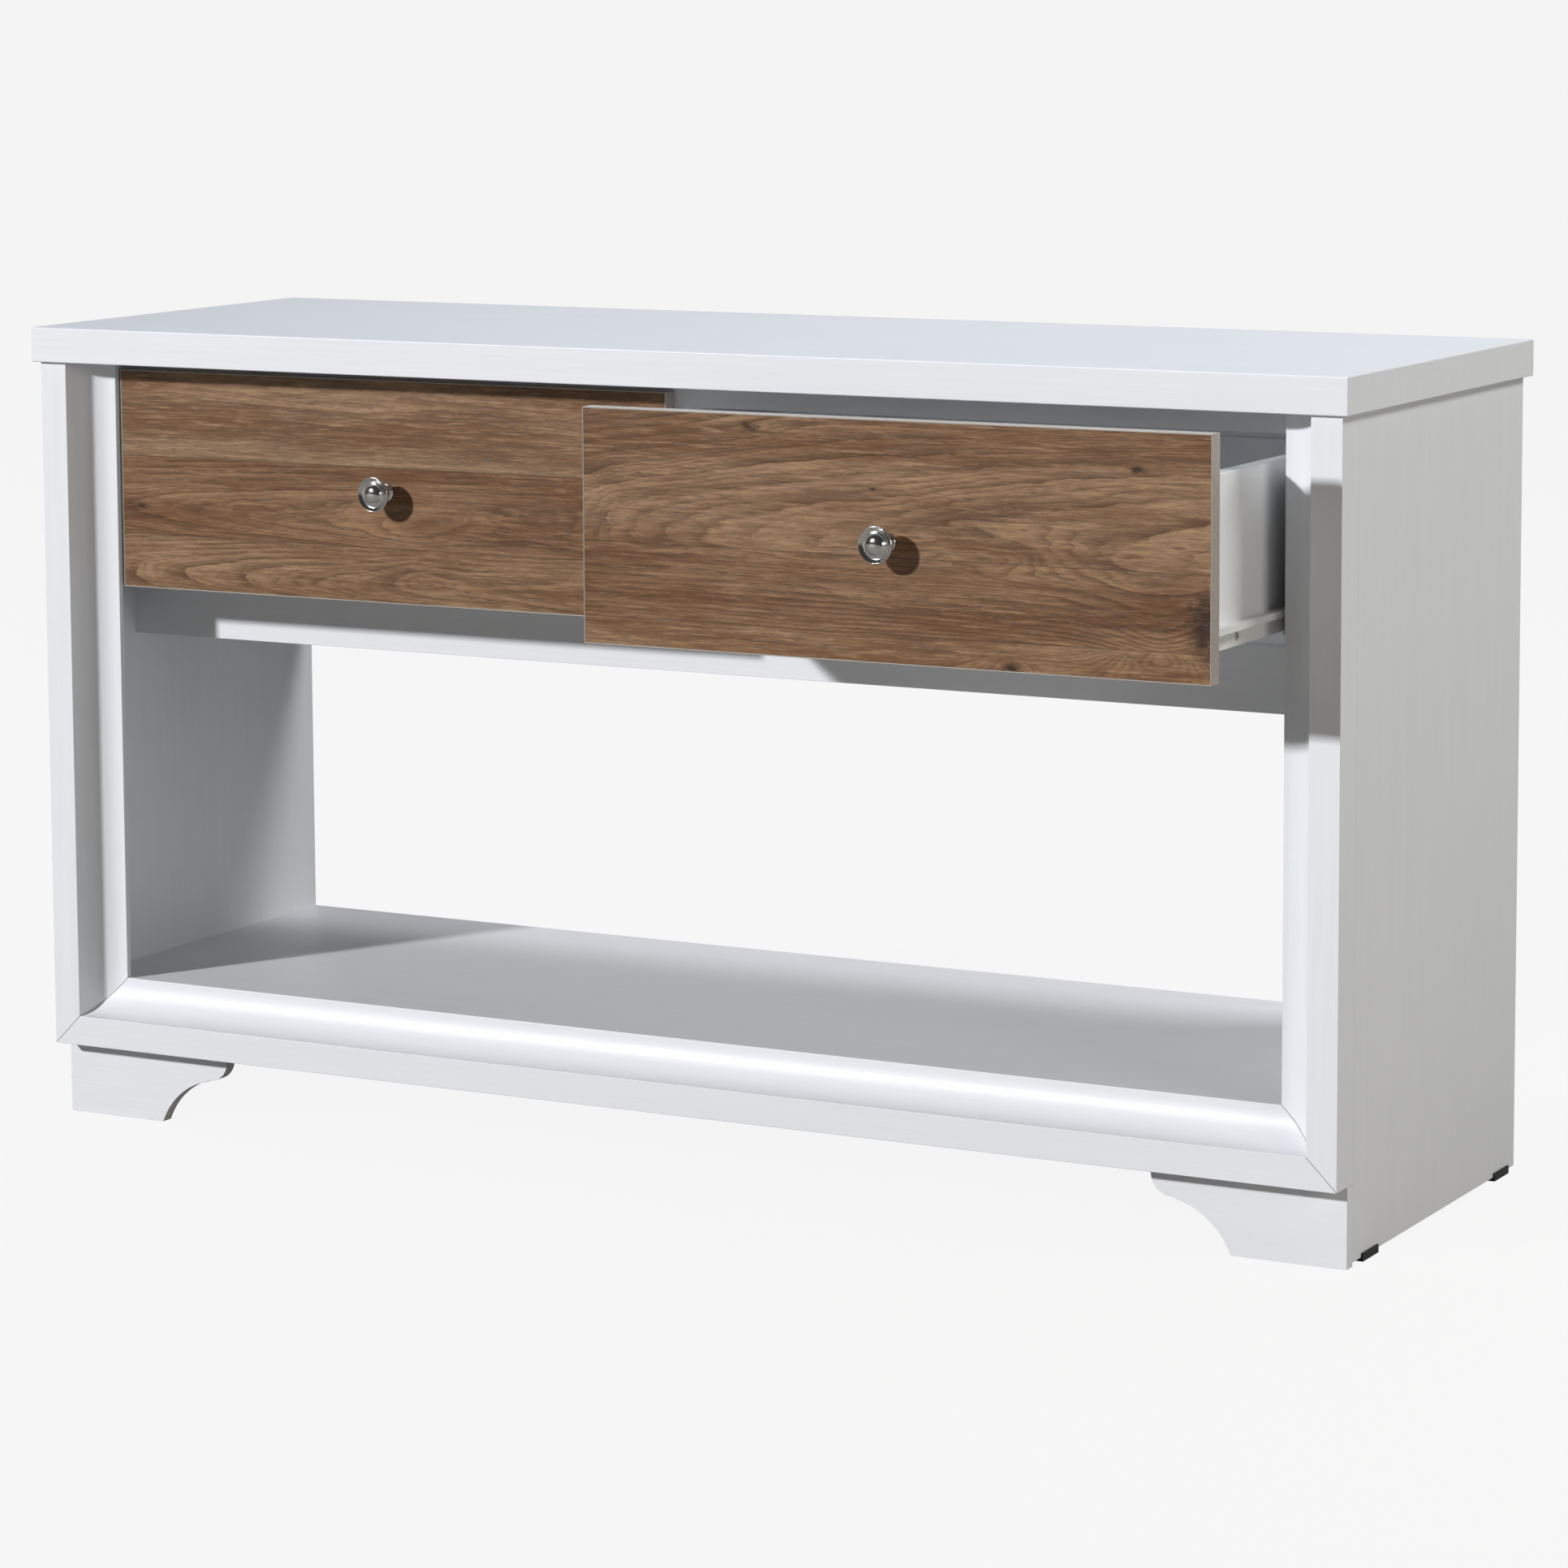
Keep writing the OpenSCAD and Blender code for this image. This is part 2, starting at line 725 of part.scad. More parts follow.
top_panel();
mirror([1, 0, 0]) side_panel();  // side_panel_left
side_panel();  // side_panel_right
lower_shelf();
plinth_rail();
drawer_rail(rail_y);  // front_rail
drawer_rail(back_panel_y - board_t);  // rear_rail
front_stretcher();
back_panel();
center_divider();
mirror([1, 0, 0]) case_side();  // case_side_left
case_side();  // case_side_right
stile_moulding();  // stile_moulding_left
mirror([1, 0, 0]) stile_moulding();  // stile_moulding_right
base_moulding();
bracket_foot();  // bracket_foot_left
mirror([1, 0, 0]) bracket_foot();  // bracket_foot_right
foot_blocks();
glides();
cam_locks();
cam_bolts();
dowels();
stretcher_screws();
back_panel_screws();
cabinet_runner(-box_x1, -1);  // cabinet_runner_ll
cabinet_runner(-box_x0, 1);  // cabinet_runner_lr
cabinet_runner(box_x0, -1);  // cabinet_runner_rl
cabinet_runner(box_x1, 1);  // cabinet_runner_rr

drawer_place(false) drawer_front();  // left_drawer_front
drawer_place(false) edge_band();  // left_edge_band
drawer_place(false) box_front();  // left_box_front
drawer_place(false) box_side(box_x1, 1);  // left_box_side_outer
drawer_place(false) box_side(box_x0, -1);  // left_box_side_inner
drawer_place(false) box_back();  // left_box_back
drawer_place(false) box_bottom();  // left_box_bottom
drawer_place(false) knob();  // left_knob
drawer_place(false) knob_screw();  // left_knob_screw
drawer_place(false) drawer_runner(box_x1, 1);  // left_runner_outer
drawer_place(false) drawer_runner(box_x0, -1);  // left_runner_inner
drawer_place(false) runner_screws();  // left_runner_screws

drawer_place(true) drawer_front();  // right_drawer_front
drawer_place(true) edge_band();  // right_edge_band
drawer_place(true) box_front();  // right_box_front
drawer_place(true) box_side(box_x1, 1);  // right_box_side_outer
drawer_place(true) box_side(box_x0, -1);  // right_box_side_inner
drawer_place(true) box_back();  // right_box_back
drawer_place(true) box_bottom();  // right_box_bottom
drawer_place(true) knob();  // right_knob
drawer_place(true) knob_screw();  // right_knob_screw
drawer_place(true) drawer_runner(box_x1, 1);  // right_runner_outer
drawer_place(true) drawer_runner(box_x0, -1);  // right_runner_inner
drawer_place(true) runner_screws();  // right_runner_screws

mirror([1, 0, 0]) roller_pair(front_roller_y, front_roller_v, front_roller_u);  // left_front_rollers
roller_pair(front_roller_y, front_roller_v, front_roller_u);  // right_front_rollers
drawer_place(false) roller_pair(rear_roller_y, rear_roller_v, rear_roller_u);  // left_rear_rollers
drawer_place(true) roller_pair(rear_roller_y, rear_roller_v, rear_roller_u);  // right_rear_rollers
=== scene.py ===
import json
import math

import bpy
from mathutils import Matrix, Vector


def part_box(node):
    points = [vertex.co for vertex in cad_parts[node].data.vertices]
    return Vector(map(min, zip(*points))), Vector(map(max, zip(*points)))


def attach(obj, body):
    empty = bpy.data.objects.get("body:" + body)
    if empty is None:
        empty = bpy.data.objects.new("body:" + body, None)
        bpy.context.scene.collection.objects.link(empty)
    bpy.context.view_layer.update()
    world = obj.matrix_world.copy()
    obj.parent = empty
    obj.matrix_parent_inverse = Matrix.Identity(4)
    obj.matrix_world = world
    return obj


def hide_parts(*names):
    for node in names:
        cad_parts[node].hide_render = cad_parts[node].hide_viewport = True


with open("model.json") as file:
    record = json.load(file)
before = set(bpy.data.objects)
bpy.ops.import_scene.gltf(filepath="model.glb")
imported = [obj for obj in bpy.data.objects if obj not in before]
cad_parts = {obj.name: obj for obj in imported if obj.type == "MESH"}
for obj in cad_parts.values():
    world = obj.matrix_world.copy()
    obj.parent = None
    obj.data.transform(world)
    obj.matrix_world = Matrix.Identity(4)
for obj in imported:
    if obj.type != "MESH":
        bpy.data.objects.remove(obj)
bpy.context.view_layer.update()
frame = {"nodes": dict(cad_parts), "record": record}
MM = 0.001
SIDES = {"left": -1, "right": 1}
WELD = 0.01 * MM  # points nearer than this are one point


# ---------- modelling ----------


def corners(node):
    """The lowest and highest corners of a frame node."""
    return [Vector(corner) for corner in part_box(node)]


def deselect():
    """Leaves edit mode and deselects everything."""
    if bpy.context.mode != "OBJECT":
        bpy.ops.object.mode_set(mode="OBJECT")
    bpy.ops.object.select_all(action="DESELECT")


def only(piece):
    """Selects one piece and makes it the active one."""
    deselect()
    piece.select_set(True)
    bpy.context.view_layer.objects.active = piece


def settle(piece):
    """Puts the piece's place, turn and scale into its mesh."""
    only(piece)
    bpy.ops.object.transform_apply(location=True, rotation=True, scale=True)


def block(name, low, high):
    """A plain board between two corners, to be shaped further."""
    deselect()
    low, high = Vector(low), Vector(high)
    bpy.ops.mesh.primitive_cube_add(size=1, location=(low + high) / 2, scale=high - low)
    piece = bpy.context.object
    piece.name = name
    settle(piece)
    return piece


def ease_edges(piece, width, segments=2, angle=30):
    """Rounds the sharp edges a little and keeps the flat faces flat."""
    only(piece)
    bpy.ops.object.shade_smooth()
    bevel = piece.modifiers.new("eased edges", "BEVEL")
    bevel.width = width
    bevel.segments = segments
    bevel.limit_method = "ANGLE"
    bevel.angle_limit = math.radians(angle)
    bevel.harden_normals = True
    bpy.ops.object.modifier_apply(modifier=bevel.name)


def face_outwards():
    """Turns every face of the piece in edit mode outwards, and leaves edit mode."""
    bpy.ops.mesh.select_all(action="SELECT")
    bpy.ops.mesh.normals_make_consistent(inside=False)
    bpy.ops.object.mode_set(mode="OBJECT")


def pen(name, start):
    """A mesh of one point, to draw an outline from."""
    deselect()
    bpy.ops.mesh.primitive_plane_add(size=MM, location=start)
    piece = bpy.context.object
    piece.name = name
    settle(piece)
    bpy.ops.object.mode_set(mode="EDIT")
    bpy.ops.mesh.select_mode(type="VERT")
    bpy.ops.mesh.select_all(action="SELECT")
    bpy.ops.mesh.merge(type="CENTER")
    return piece


def line(*step):
    """Draws a straight edge from the last point, or pulls out the selected faces."""
    bpy.ops.mesh.extrude_region_move(TRANSFORM_OT_translate={"value": step})


def arc(centre, axis, degrees, steps):
    """Draws an arc from the last point round a centre."""
    bpy.ops.mesh.spin(steps=steps, angle=math.radians(degrees), center=centre, axis=axis)


def close_outline(*depth):
    """Joins the outline's ends, fills it and pulls it out to a solid."""
    bpy.ops.mesh.select_all(action="SELECT")
    bpy.ops.mesh.remove_doubles(threshold=WELD)
    bpy.ops.mesh.edge_face_add()
    line(*depth)
    face_outwards()


def cut(piece, point, normal, drop_beyond=True):
    """Cuts along a plane. What lies beyond it goes and the cut is closed, or both sides stay."""
    only(piece)
    bpy.ops.object.mode_set(mode="EDIT")
    bpy.ops.mesh.select_all(action="SELECT")
    bpy.ops.mesh.bisect(
        plane_co=point, plane_no=normal, use_fill=drop_beyond, clear_outer=drop_beyond
    )
    bpy.ops.object.mode_set(mode="OBJECT")


def select_faces(piece, wanted):
    """Selects the faces that the test picks by centre and normal, in edit mode."""
    only(piece)
    bpy.ops.object.mode_set(mode="EDIT")
    bpy.ops.mesh.select_mode(type="FACE")
    bpy.ops.mesh.select_all(action="DESELECT")
    bpy.ops.object.mode_set(mode="OBJECT")
    for face in piece.data.polygons:
        face.select = bool(wanted(face.center, face.normal))
    bpy.ops.object.mode_set(mode="EDIT")


def mirrored(piece, name):
    """A copy on the other side of the table's middle."""
    only(piece)
    bpy.ops.object.duplicate()
    twin = bpy.context.object
    twin.name = name
    twin.scale.x = -1
    settle(twin)
    bpy.ops.object.mode_set(mode="EDIT")
    face_outwards()
    return twin


def turned(name, centre, out, profile, steps=48, smooth=0):
    """A piece turned round a line from centre along out, drawn as (radius, distance) pairs."""
    centre, out = Vector(centre), Vector(out)
    side = out.orthogonal().normalized()
    piece = pen(name, centre + side * profile[0][0] + out * profile[0][1])
    for (r0, d0), (r1, d1) in zip(profile, profile[1:]):
        line(*(side * (r1 - r0) + out * (d1 - d0)))
    bpy.ops.mesh.select_all(action="SELECT")
    bpy.ops.mesh.spin(steps=steps, angle=math.tau, center=centre, axis=out)
    bpy.ops.mesh.select_all(action="SELECT")
    bpy.ops.mesh.remove_doubles(threshold=WELD)
    face_outwards()
    only(piece)
    if smooth:
        soften = piece.modifiers.new("smooth", "SUBSURF")
        soften.levels = soften.render_levels = smooth
        bpy.ops.object.modifier_apply(modifier=soften.name)
    bpy.ops.object.shade_smooth_by_angle(angle=math.radians(40))
    return piece


def copied(piece, name, move):
    """A copy with its own mesh, moved by a step."""
    only(piece)
    bpy.ops.object.duplicate()
    twin = bpy.context.object
    twin.name = name
    twin.location = move
    settle(twin)
    return twin


def joined(first, *others):
    """One piece made of several."""
    only(first)
    for piece in others:
        piece.select_set(True)
    bpy.ops.object.join()
    return first


def drill(piece, holes):
    """Cuts round holes, given as (start, out, depth, radius)."""
    for start, out, depth, radius in holes:
        deselect()
        middle = Vector(start) + Vector(out) * depth / 2
        bpy.ops.mesh.primitive_cylinder_add(
            vertices=24, radius=radius, depth=depth, location=middle
        )
        bit = bpy.context.object
        bit.rotation_euler = Vector(out).to_track_quat("Z", "Y").to_euler()
        settle(bit)
        only(piece)
        hole = piece.modifiers.new("hole", "BOOLEAN")
        hole.object = bit
        hole.solver = "EXACT"
        bpy.ops.object.modifier_apply(modifier=hole.name)
        bpy.data.objects.remove(bit)


def fit(piece, body, material, *nodes):
    """Gives a finished piece its body, its finish and the frame nodes that it stands for."""
    piece.data.materials.clear()
    piece.data.materials.append(material)
    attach(piece, body)
    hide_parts(*nodes)


# ---------- shading ----------


def put(tree, kind, inputs=None, **settings):
    """Adds a shader node; inputs are values or other nodes' outputs."""
    node = tree.nodes.new("ShaderNode" + kind)
    for name, value in settings.items():
        setattr(node, name, value)
    for key, value in (inputs or {}).items():
        if isinstance(value, bpy.types.NodeSocket):
            tree.links.new(value, node.inputs[key])
        else:
            node.inputs[key].default_value = value
    return node


def calc(tree, operation, *values):
    """The result of a sum on numbers."""
    return put(tree, "Math", dict(enumerate(values)), operation=operation).outputs[0]


def plus(tree, one, two):
    return calc(tree, "ADD", one, two)


def minus(tree, one, two):
    return calc(tree, "SUBTRACT", one, two)


def times(tree, one, two):
    return calc(tree, "MULTIPLY", one, two)


def vector_calc(tree, operation, *values, result="Vector"):
    """The result of a sum on vectors: a vector, or a number when the result is a Value."""
    node = put(tree, "VectorMath", dict(enumerate(values)), operation=operation)
    return node.outputs[result]


def remap(tree, value, low, high, to_low=0.0, to_high=1.0, how="LINEAR"):
    """Takes low to to_low and high to to_high, and holds the value between them."""
    inputs = {
        "Value": value,
        "From Min": low,
        "From Max": high,
        "To Min": to_low,
        "To Max": to_high,
    }
    return put(tree, "MapRange", inputs, interpolation_type=how).outputs["Result"]


def blend(tree, factor, one, two, how="MIX"):
    """Mixes two colours."""
    mix = put(tree, "Mix", {0: factor, 6: one, 7: two}, data_type="RGBA", blend_type=how)
    return mix.outputs[2]


def noise(tree, vector, scale=1.0, detail=4.0, roughness=0.55):
    """Cloudy noise from 0 to 1."""
    inputs = {"Vector": vector, "Scale": scale, "Detail": detail, "Roughness": roughness}
    return put(tree, "TexNoise", inputs).outputs["Fac"]


def mapped(tree, vector, place=(0, 0, 0), turn=(0, 0, 0), scale=(1, 1, 1)):
    """Coordinates scaled, turned and then moved."""
    inputs = {"Vector": vector, "Location": place, "Rotation": turn, "Scale": scale}
    return put(tree, "Mapping", inputs).outputs["Vector"]


def group(name, inputs, outputs):
    """A shader node group with its inputs and outputs made."""
    tree = bpy.data.node_groups.new(name, "ShaderNodeTree")
    for title, kind, value in inputs:
        made = tree.interface.new_socket(
            name=title, in_out="INPUT", socket_type="NodeSocket" + kind
        )
        if value is not None:
            made.default_value = value
    for title, kind in outputs:
        tree.interface.new_socket(name=title, in_out="OUTPUT", socket_type="NodeSocket" + kind)
    given = tree.nodes.new("NodeGroupInput").outputs
    result = tree.nodes.new("NodeGroupOutput").inputs
    return tree, given, result


def use(tree, made, **inputs):
    """Places a group in a material; underscores in input names stand for spaces."""
    named = {title.replace("_", " "): value for title, value in inputs.items()}
    return put(tree, "Group", named, node_tree=made).outputs


def foil_grain_group():
    """Fine embossed wood grain along the vector's X: streaks of tone, and a height for bump."""
    tree, given, result = group(
        "foil grain",
        [("Vector", "Vector", None), ("Fineness", "Float", 420.0), ("Length", "Float", 9.0)],
        [("Streaks", "Float"), ("Height", "Float")],
    )
    parts = put(tree, "SeparateXYZ", {0: given["Vector"]}).outputs
    along = times(tree, parts[0], given["Length"])
    across = [times(tree, parts[k], given["Fineness"]) for k in (1, 2)]
    fibre = put(tree, "CombineXYZ", {0: along, 1: across[0], 2: across[1]}).outputs[0]
    fine = noise(tree, fibre, detail=3, roughness=0.6)
    broad = noise(tree, mapped(tree, fibre, place=(3, 7, 1), scale=(0.4, 0.18, 0.18)), detail=2)
    short = noise(tree, mapped(tree, fibre, scale=(3, 0.8, 0.8)), detail=1)
    ticks = remap(tree, short, 0.56, 0.7)
    streaks = plus(tree, times(tree, fine, 0.6), times(tree, broad, 0.4))
    tree.links.new(remap(tree, streaks, 0.35, 0.65), result["Streaks"])
    tree.links.new(minus(tree, fine, times(tree, ticks, 0.5)), result["Height"])
    return tree


def handling_group():
    """Soft, uneven variation of a finish: a faint tone and a change in gloss."""
    tree, given, result = group(
        "handling",
        [
            ("Vector", "Vector", None),
            ("Size", "Float", 5.0),
            ("Gloss Spread", "Float", 0.06),
            ("Base Gloss", "Float", 0.4),
        ],
        [("Tone", "Float"), ("Roughness", "Float")],
    )
    cloud = noise(tree, given["Vector"], scale=given["Size"], detail=3)
    elsewhere = mapped(tree, given["Vector"], place=(5, 2, 9))
    smudge = noise(tree, elsewhere, scale=24.0, detail=4, roughness=0.6)
    tree.links.new(cloud, result["Tone"])
    spread = times(tree, minus(tree, smudge, 0.5), given["Gloss Spread"])
    rough = plus(tree, given["Base Gloss"], times(tree, spread, 2.0))
    tree.links.new(rough, result["Roughness"])
    return tree


def from_place(tree, given):
    """The way from a group's Place, in units of its Stretch."""
    away = vector_calc(tree, "SUBTRACT", given["Vector"], given["Place"])
    return vector_calc(tree, "MULTIPLY", away, given["Stretch"])


def swirl_group():
    """A smooth hump in the growth rings, which bends the lines of grain round its place."""
    tree, given, result = group(
        "grain swirl",
        [
            ("Vector", "Vector", None),
            ("Place", "Vector", (0, 0, 0)),
            ("Stretch", "Vector", (5, 1, 30)),
            ("Rise", "Float", 1.0),
        ],
        [("Rings", "Float")],
    )
    near = from_place(tree, given)
    square = vector_calc(tree, "DOT_PRODUCT", near, near, result="Value")
    fade = calc(tree, "DIVIDE", given["Rise"], plus(tree, 1.0, square))
    tree.links.new(fade, result["Rings"])
    return tree


def arch_group():
    """Growth rings that open to one side like a row of pointed arches."""
    tree, given, result = group(
        "grain arches",
        [
            ("Vector", "Vector", None),
            ("Place", "Vector", (0, 0, 0)),
            ("Stretch", "Vector", (10, 0, 30)),
            ("Slant", "Float", 0.0),
        ],
        [("Rings", "Float")],
    )
    parts = put(tree, "SeparateXYZ", {0: from_place(tree, given)}).outputs
    high = minus(tree, parts[2], times(tree, parts[0], given["Slant"]))
    inside = calc(tree, "POWER", calc(tree, "MAXIMUM", parts[0], 0.0), 0.6)
    along = plus(tree, inside, calc(tree, "MINIMUM", parts[0], 0.0))
    tree.links.new(minus(tree, along, times(tree, high, high)), result["Rings"])
    return tree


def knot_group():
    """A small dark knot with a ragged edge."""
    tree, given, result = group(
        "knot",
        [
            ("Vector", "Vector", None),
            ("Place", "Vector", (0, 0, 0)),
            ("Stretch", "Vector", (60, 1, 130)),
        ],
        [("Mask", "Float")],
    )
    wobble = noise(tree, given["Vector"], scale=160.0, detail=2)
    reach = vector_calc(tree, "LENGTH", from_place(tree, given), result="Value")
    edge = plus(tree, reach, times(tree, minus(tree, wobble, 0.5), 1.2))
    tree.links.new(remap(tree, edge, 1.0, 0.25), result["Mask"])
    return tree


def walnut_group():
    """Walnut colour from ring lines, fibres and pores, for grain along X."""
    tree, given, result = group(
        "walnut",
        [
            ("Vector", "Vector", None),
            ("Rings", "Float", 0.0),
            ("Shift", "Vector", (0, 0, 0)),
            ("Lines", "Float", 1.0),
            ("Light", "Color", (0.43, 0.270, 0.152, 1)),
            ("Middle", "Color", (0.235, 0.120, 0.056, 1)),
            ("Dark", "Color", (0.075, 0.034, 0.016, 1)),
        ],
        [("Color", "Color"), ("Height", "Float"), ("Pores", "Float")],
    )
    place = vector_calc(tree, "ADD", given["Vector"], given["Shift"])

    def grain(scale, detail, roughness=0.55, start=(0, 0, 0)):
        """Noise drawn out along the grain."""
        lay = mapped(tree, place, place=start, scale=scale)
        return noise(tree, lay, detail=detail, roughness=roughness)

    def stained(colour, mask, stain):
        """The colour with a stain where the mask is."""
        return blend(tree, mask, colour, given[stain])

    # Rings that wander a little, and the dark lines where each one ends
    sway = grain((7, 1, 32), 3, 0.5)
    shiver = grain((42, 1, 190), 3)
    rings = plus(tree, given["Rings"], times(tree, sway, 1.3))
    rings = plus(tree, rings, times(tree, shiver, 0.20))
    phase = calc(tree, "FRACT", rings)
    late = remap(tree, phase, 0.15, 0.95, how="SMOOTHSTEP")
    ring_line = times(tree, late, remap(tree, phase, 1.0, 0.95))
    crisp = times(tree, remap(tree, phase, 0.86, 0.95), remap(tree, phase, 1.0, 0.965))
    twin = calc(tree, "FRACT", times(tree, rings, 3.6))
    thin_line = times(tree, remap(tree, twin, 0.4, 0.95), remap(tree, twin, 1.0, 0.95))
    patchy = grain((8, 1, 45), 2, start=(4, 0, 2))
    ring_strength = times(tree, given["Lines"], remap(tree, patchy, 0.35, 0.62, 0.1, 0.65))
    crisp_strength = remap(tree, patchy, 0.42, 0.6, 0.05, 0.5)
    thin_strength = remap(tree, patchy, 0.65, 0.4, 0.15, 0.55)

    # Light and middle zones, with the lines over them
    zone = remap(tree, grain((3.2, 1, 30), 4, 0.6, (9, 0, 5)), 0.40, 0.60)
    colour = blend(tree, zone, given["Middle"], given["Light"])
    colour = stained(colour, times(tree, ring_line, ring_strength), "Dark")
    colour = stained(colour, times(tree, crisp, crisp_strength), "Dark")
    colour = stained(colour, times(tree, thin_line, thin_strength), "Dark")

    # Streaks, fibres and light flecks
    streak = remap(tree, grain((16, 1, 260), 3, 0.6), 0.36, 0.64)
    fibre = remap(tree, grain((95, 1, 900), 3, 0.7), 0.34, 0.66)
    fleck = remap(tree, grain((28, 1, 420), 4, 0.7, (2, 0, 8)), 0.52, 0.72)
    colour = stained(colour, times(tree, minus(tree, 1.0, streak), 0.42), "Dark")
    colour = stained(colour, times(tree, minus(tree, 1.0, fibre), 0.45), "Dark")
    colour = stained(colour, times(tree, fleck, 0.65), "Light")

    # Open pores, as short dark dashes in patches
    dash = grain((85, 1, 1300), 1, 0.4, (1, 0, 3))
    where = remap(tree, grain((7, 1, 50), 2, start=(6, 0, 1)), 0.4, 0.62, 0.1, 1.0)
    pores = times(tree, remap(tree, dash, 0.60, 0.70), where)
    colour = blend(tree, times(tree, pores, 0.75), colour, PORE_DARK)
    tree.links.new(colour, result["Color"])
    tree.links.new(pores, result["Pores"])
    tree.links.new(minus(tree, times(tree, fibre, 0.4), pores), result["Height"])
    return tree


PORE_DARK = (0.045, 0.024, 0.015, 1)
SEAM_DARK = (0.075, 0.04, 0.025, 1)
KNOT_DARK = (0.035, 0.018, 0.012, 1)
FOIL_GRAIN = foil_grain_group()
HANDLING = handling_group()
SWIRL = swirl_group()
ARCHES = arch_group()
KNOT = knot_group()
WALNUT = walnut_group()
ALONG = {"X": (0, 0, 0), "Y": (0, 0, math.pi / 2), "Z": (0, math.pi / 2, 0)}


def finish(name, slot, metallic=0.0):
    """A new material for one slot of the record: its tree, shader and the piece's coordinates."""
    made = bpy.data.materials.new(name)
    made["slot"] = slot
    made.use_nodes = True
    tree = made.node_tree
    shader = tree.nodes["Principled BSDF"]
    shader.inputs["Metallic"].default_value = metallic
    return made, tree, shader, put(tree, "TexCoord").outputs["Object"]


def relief(tree, shader, height, distance):
    """Raises the surface by a height, at most by a distance."""
    bump = put(tree, "Bump", {"Height": height, "Distance": distance, "Strength": 1.0})
    tree.links.new(bump.outputs[0], shader.inputs["Normal"])


def white_foil(name, slot, grain, pale, deep, emboss=0.00006, fineness=420.0, gloss=0.46):
    """White foil with embossed grain along one axis."""
    made, tree, shader, coords = finish(name, slot)
    lay = mapped(tree, coords, turn=ALONG[grain])
    wood = use(tree, FOIL_GRAIN, Vector=lay, Fineness=fineness)
    worn = use(tree, HANDLING, Vector=coords, Base_Gloss=gloss)
    colour = blend(tree, wood["Streaks"], deep, pale)
    colour = blend(tree, remap(tree, worn["Tone"], 0.3, 0.7, 0.0, 0.35), colour, deep)
    tree.links.new(colour, shader.inputs["Base Color"])
    tree.links.new(worn["Roughness"], shader.inputs["Roughness"])
    shader.inputs["Coat Weight"].default_value = 0.08
    shader.inputs["Coat Roughness"].default_value = 0.3
    relief(tree, shader, wood["Height"], emboss)
    return made


def walnut(name, staves, swirls, knots):
    """Walnut foil laid as horizontal staves, from the lowest up.

    A stave has the height where it starts, the place (x, z), reach and half height of its
    arches, their slant, how strong its lines are, and its tone. A swirl has its place, its
    half width and height, and how far it lifts the rings. A knot has its place and half sizes.
    """
    made, tree, shader, coords = finish(name, "walnut")
    shader.inputs["Specular IOR Level"].default_value = 0.3
    high = put(tree, "SeparateXYZ", {0: coords}).outputs[2]

    def placed(effect, x, z, wide, tall, **inputs):
        """One of the grain effects at a place on the front."""
        stretch = (1 / wide, 0, 1 / tall)
        return use(tree, effect, Vector=coords, Place=(x, 0, z), Stretch=stretch, **inputs)

    for k, (start, x, z, reach, half, slant, strength, tint) in enumerate(staves):
        arches = placed(ARCHES, x, z, reach, half, Slant=slant)["Rings"]
        tint = (*tint, 1)
        if k == 0:
            rings, shift, lines, tone = arches, 0.0, strength, tint
            continue
        above = calc(tree, "GREATER_THAN", high, start)
        rings = put(tree, "Mix", {0: above, 2: rings, 3: arches}).outputs[0]
        shift = remap(tree, above, 0.0, 1.0, shift, STAVE_SHIFT * k)
        lines = remap(tree, above, 0.0, 1.0, lines, strength)
        tone = blend(tree, above, tone, tint)
    for x, z, wide, tall, rise in swirls:
        rings = plus(tree, rings, placed(SWIRL, x, z, wide, tall, Rise=rise)["Rings"])
    move = put(tree, "CombineXYZ", {0: shift, 2: shift}).outputs[0]
    wood = use(tree, WALNUT, Vector=coords, Rings=rings, Shift=move, Lines=lines)
    colour = blend(tree, 1.0, wood["Color"], tone, "MULTIPLY")
    for seam, *_ in staves[1:]:
        near = calc(tree, "ABSOLUTE", minus(tree, high, seam))
        colour = blend(tree, remap(tree, near, 0.0009, 0.0003, 0.0, 0.45), colour, SEAM_DARK)
    for x, z, wide, tall in knots:
        spot = placed(KNOT, x, z, wide, tall)["Mask"]
        colour = blend(tree, times(tree, spot, 0.9), colour, KNOT_DARK)
    tree.links.new(colour, shader.inputs["Base Color"])
    worn = use(tree, HANDLING, Vector=coords, Base_Gloss=0.33, Gloss_Spread=0.08)
    dull = plus(tree, worn["Roughness"], times(tree, wood["Pores"], 0.15))
    tree.links.new(dull, shader.inputs["Roughness"])
    relief(tree, shader, wood["Height"], 0.00005)
    return made


def moulded(name, slot, pale, deep, gloss, grain, emboss, metallic=0.0):
    """Plastic, enamel or plain metal with a faint texture and uneven gloss."""
    made, tree, shader, coords = finish(name, slot, metallic)
    worn = use(tree, HANDLING, Vector=coords, Base_Gloss=gloss, Size=18.0, Gloss_Spread=0.08)
    tree.links.new(blend(tree, worn["Tone"], deep, pale), shader.inputs["Base Color"])
    tree.links.new(worn["Roughness"], shader.inputs["Roughness"])
    relief(tree, shader, noise(tree, coords, scale=grain, detail=2), emboss)
    return made


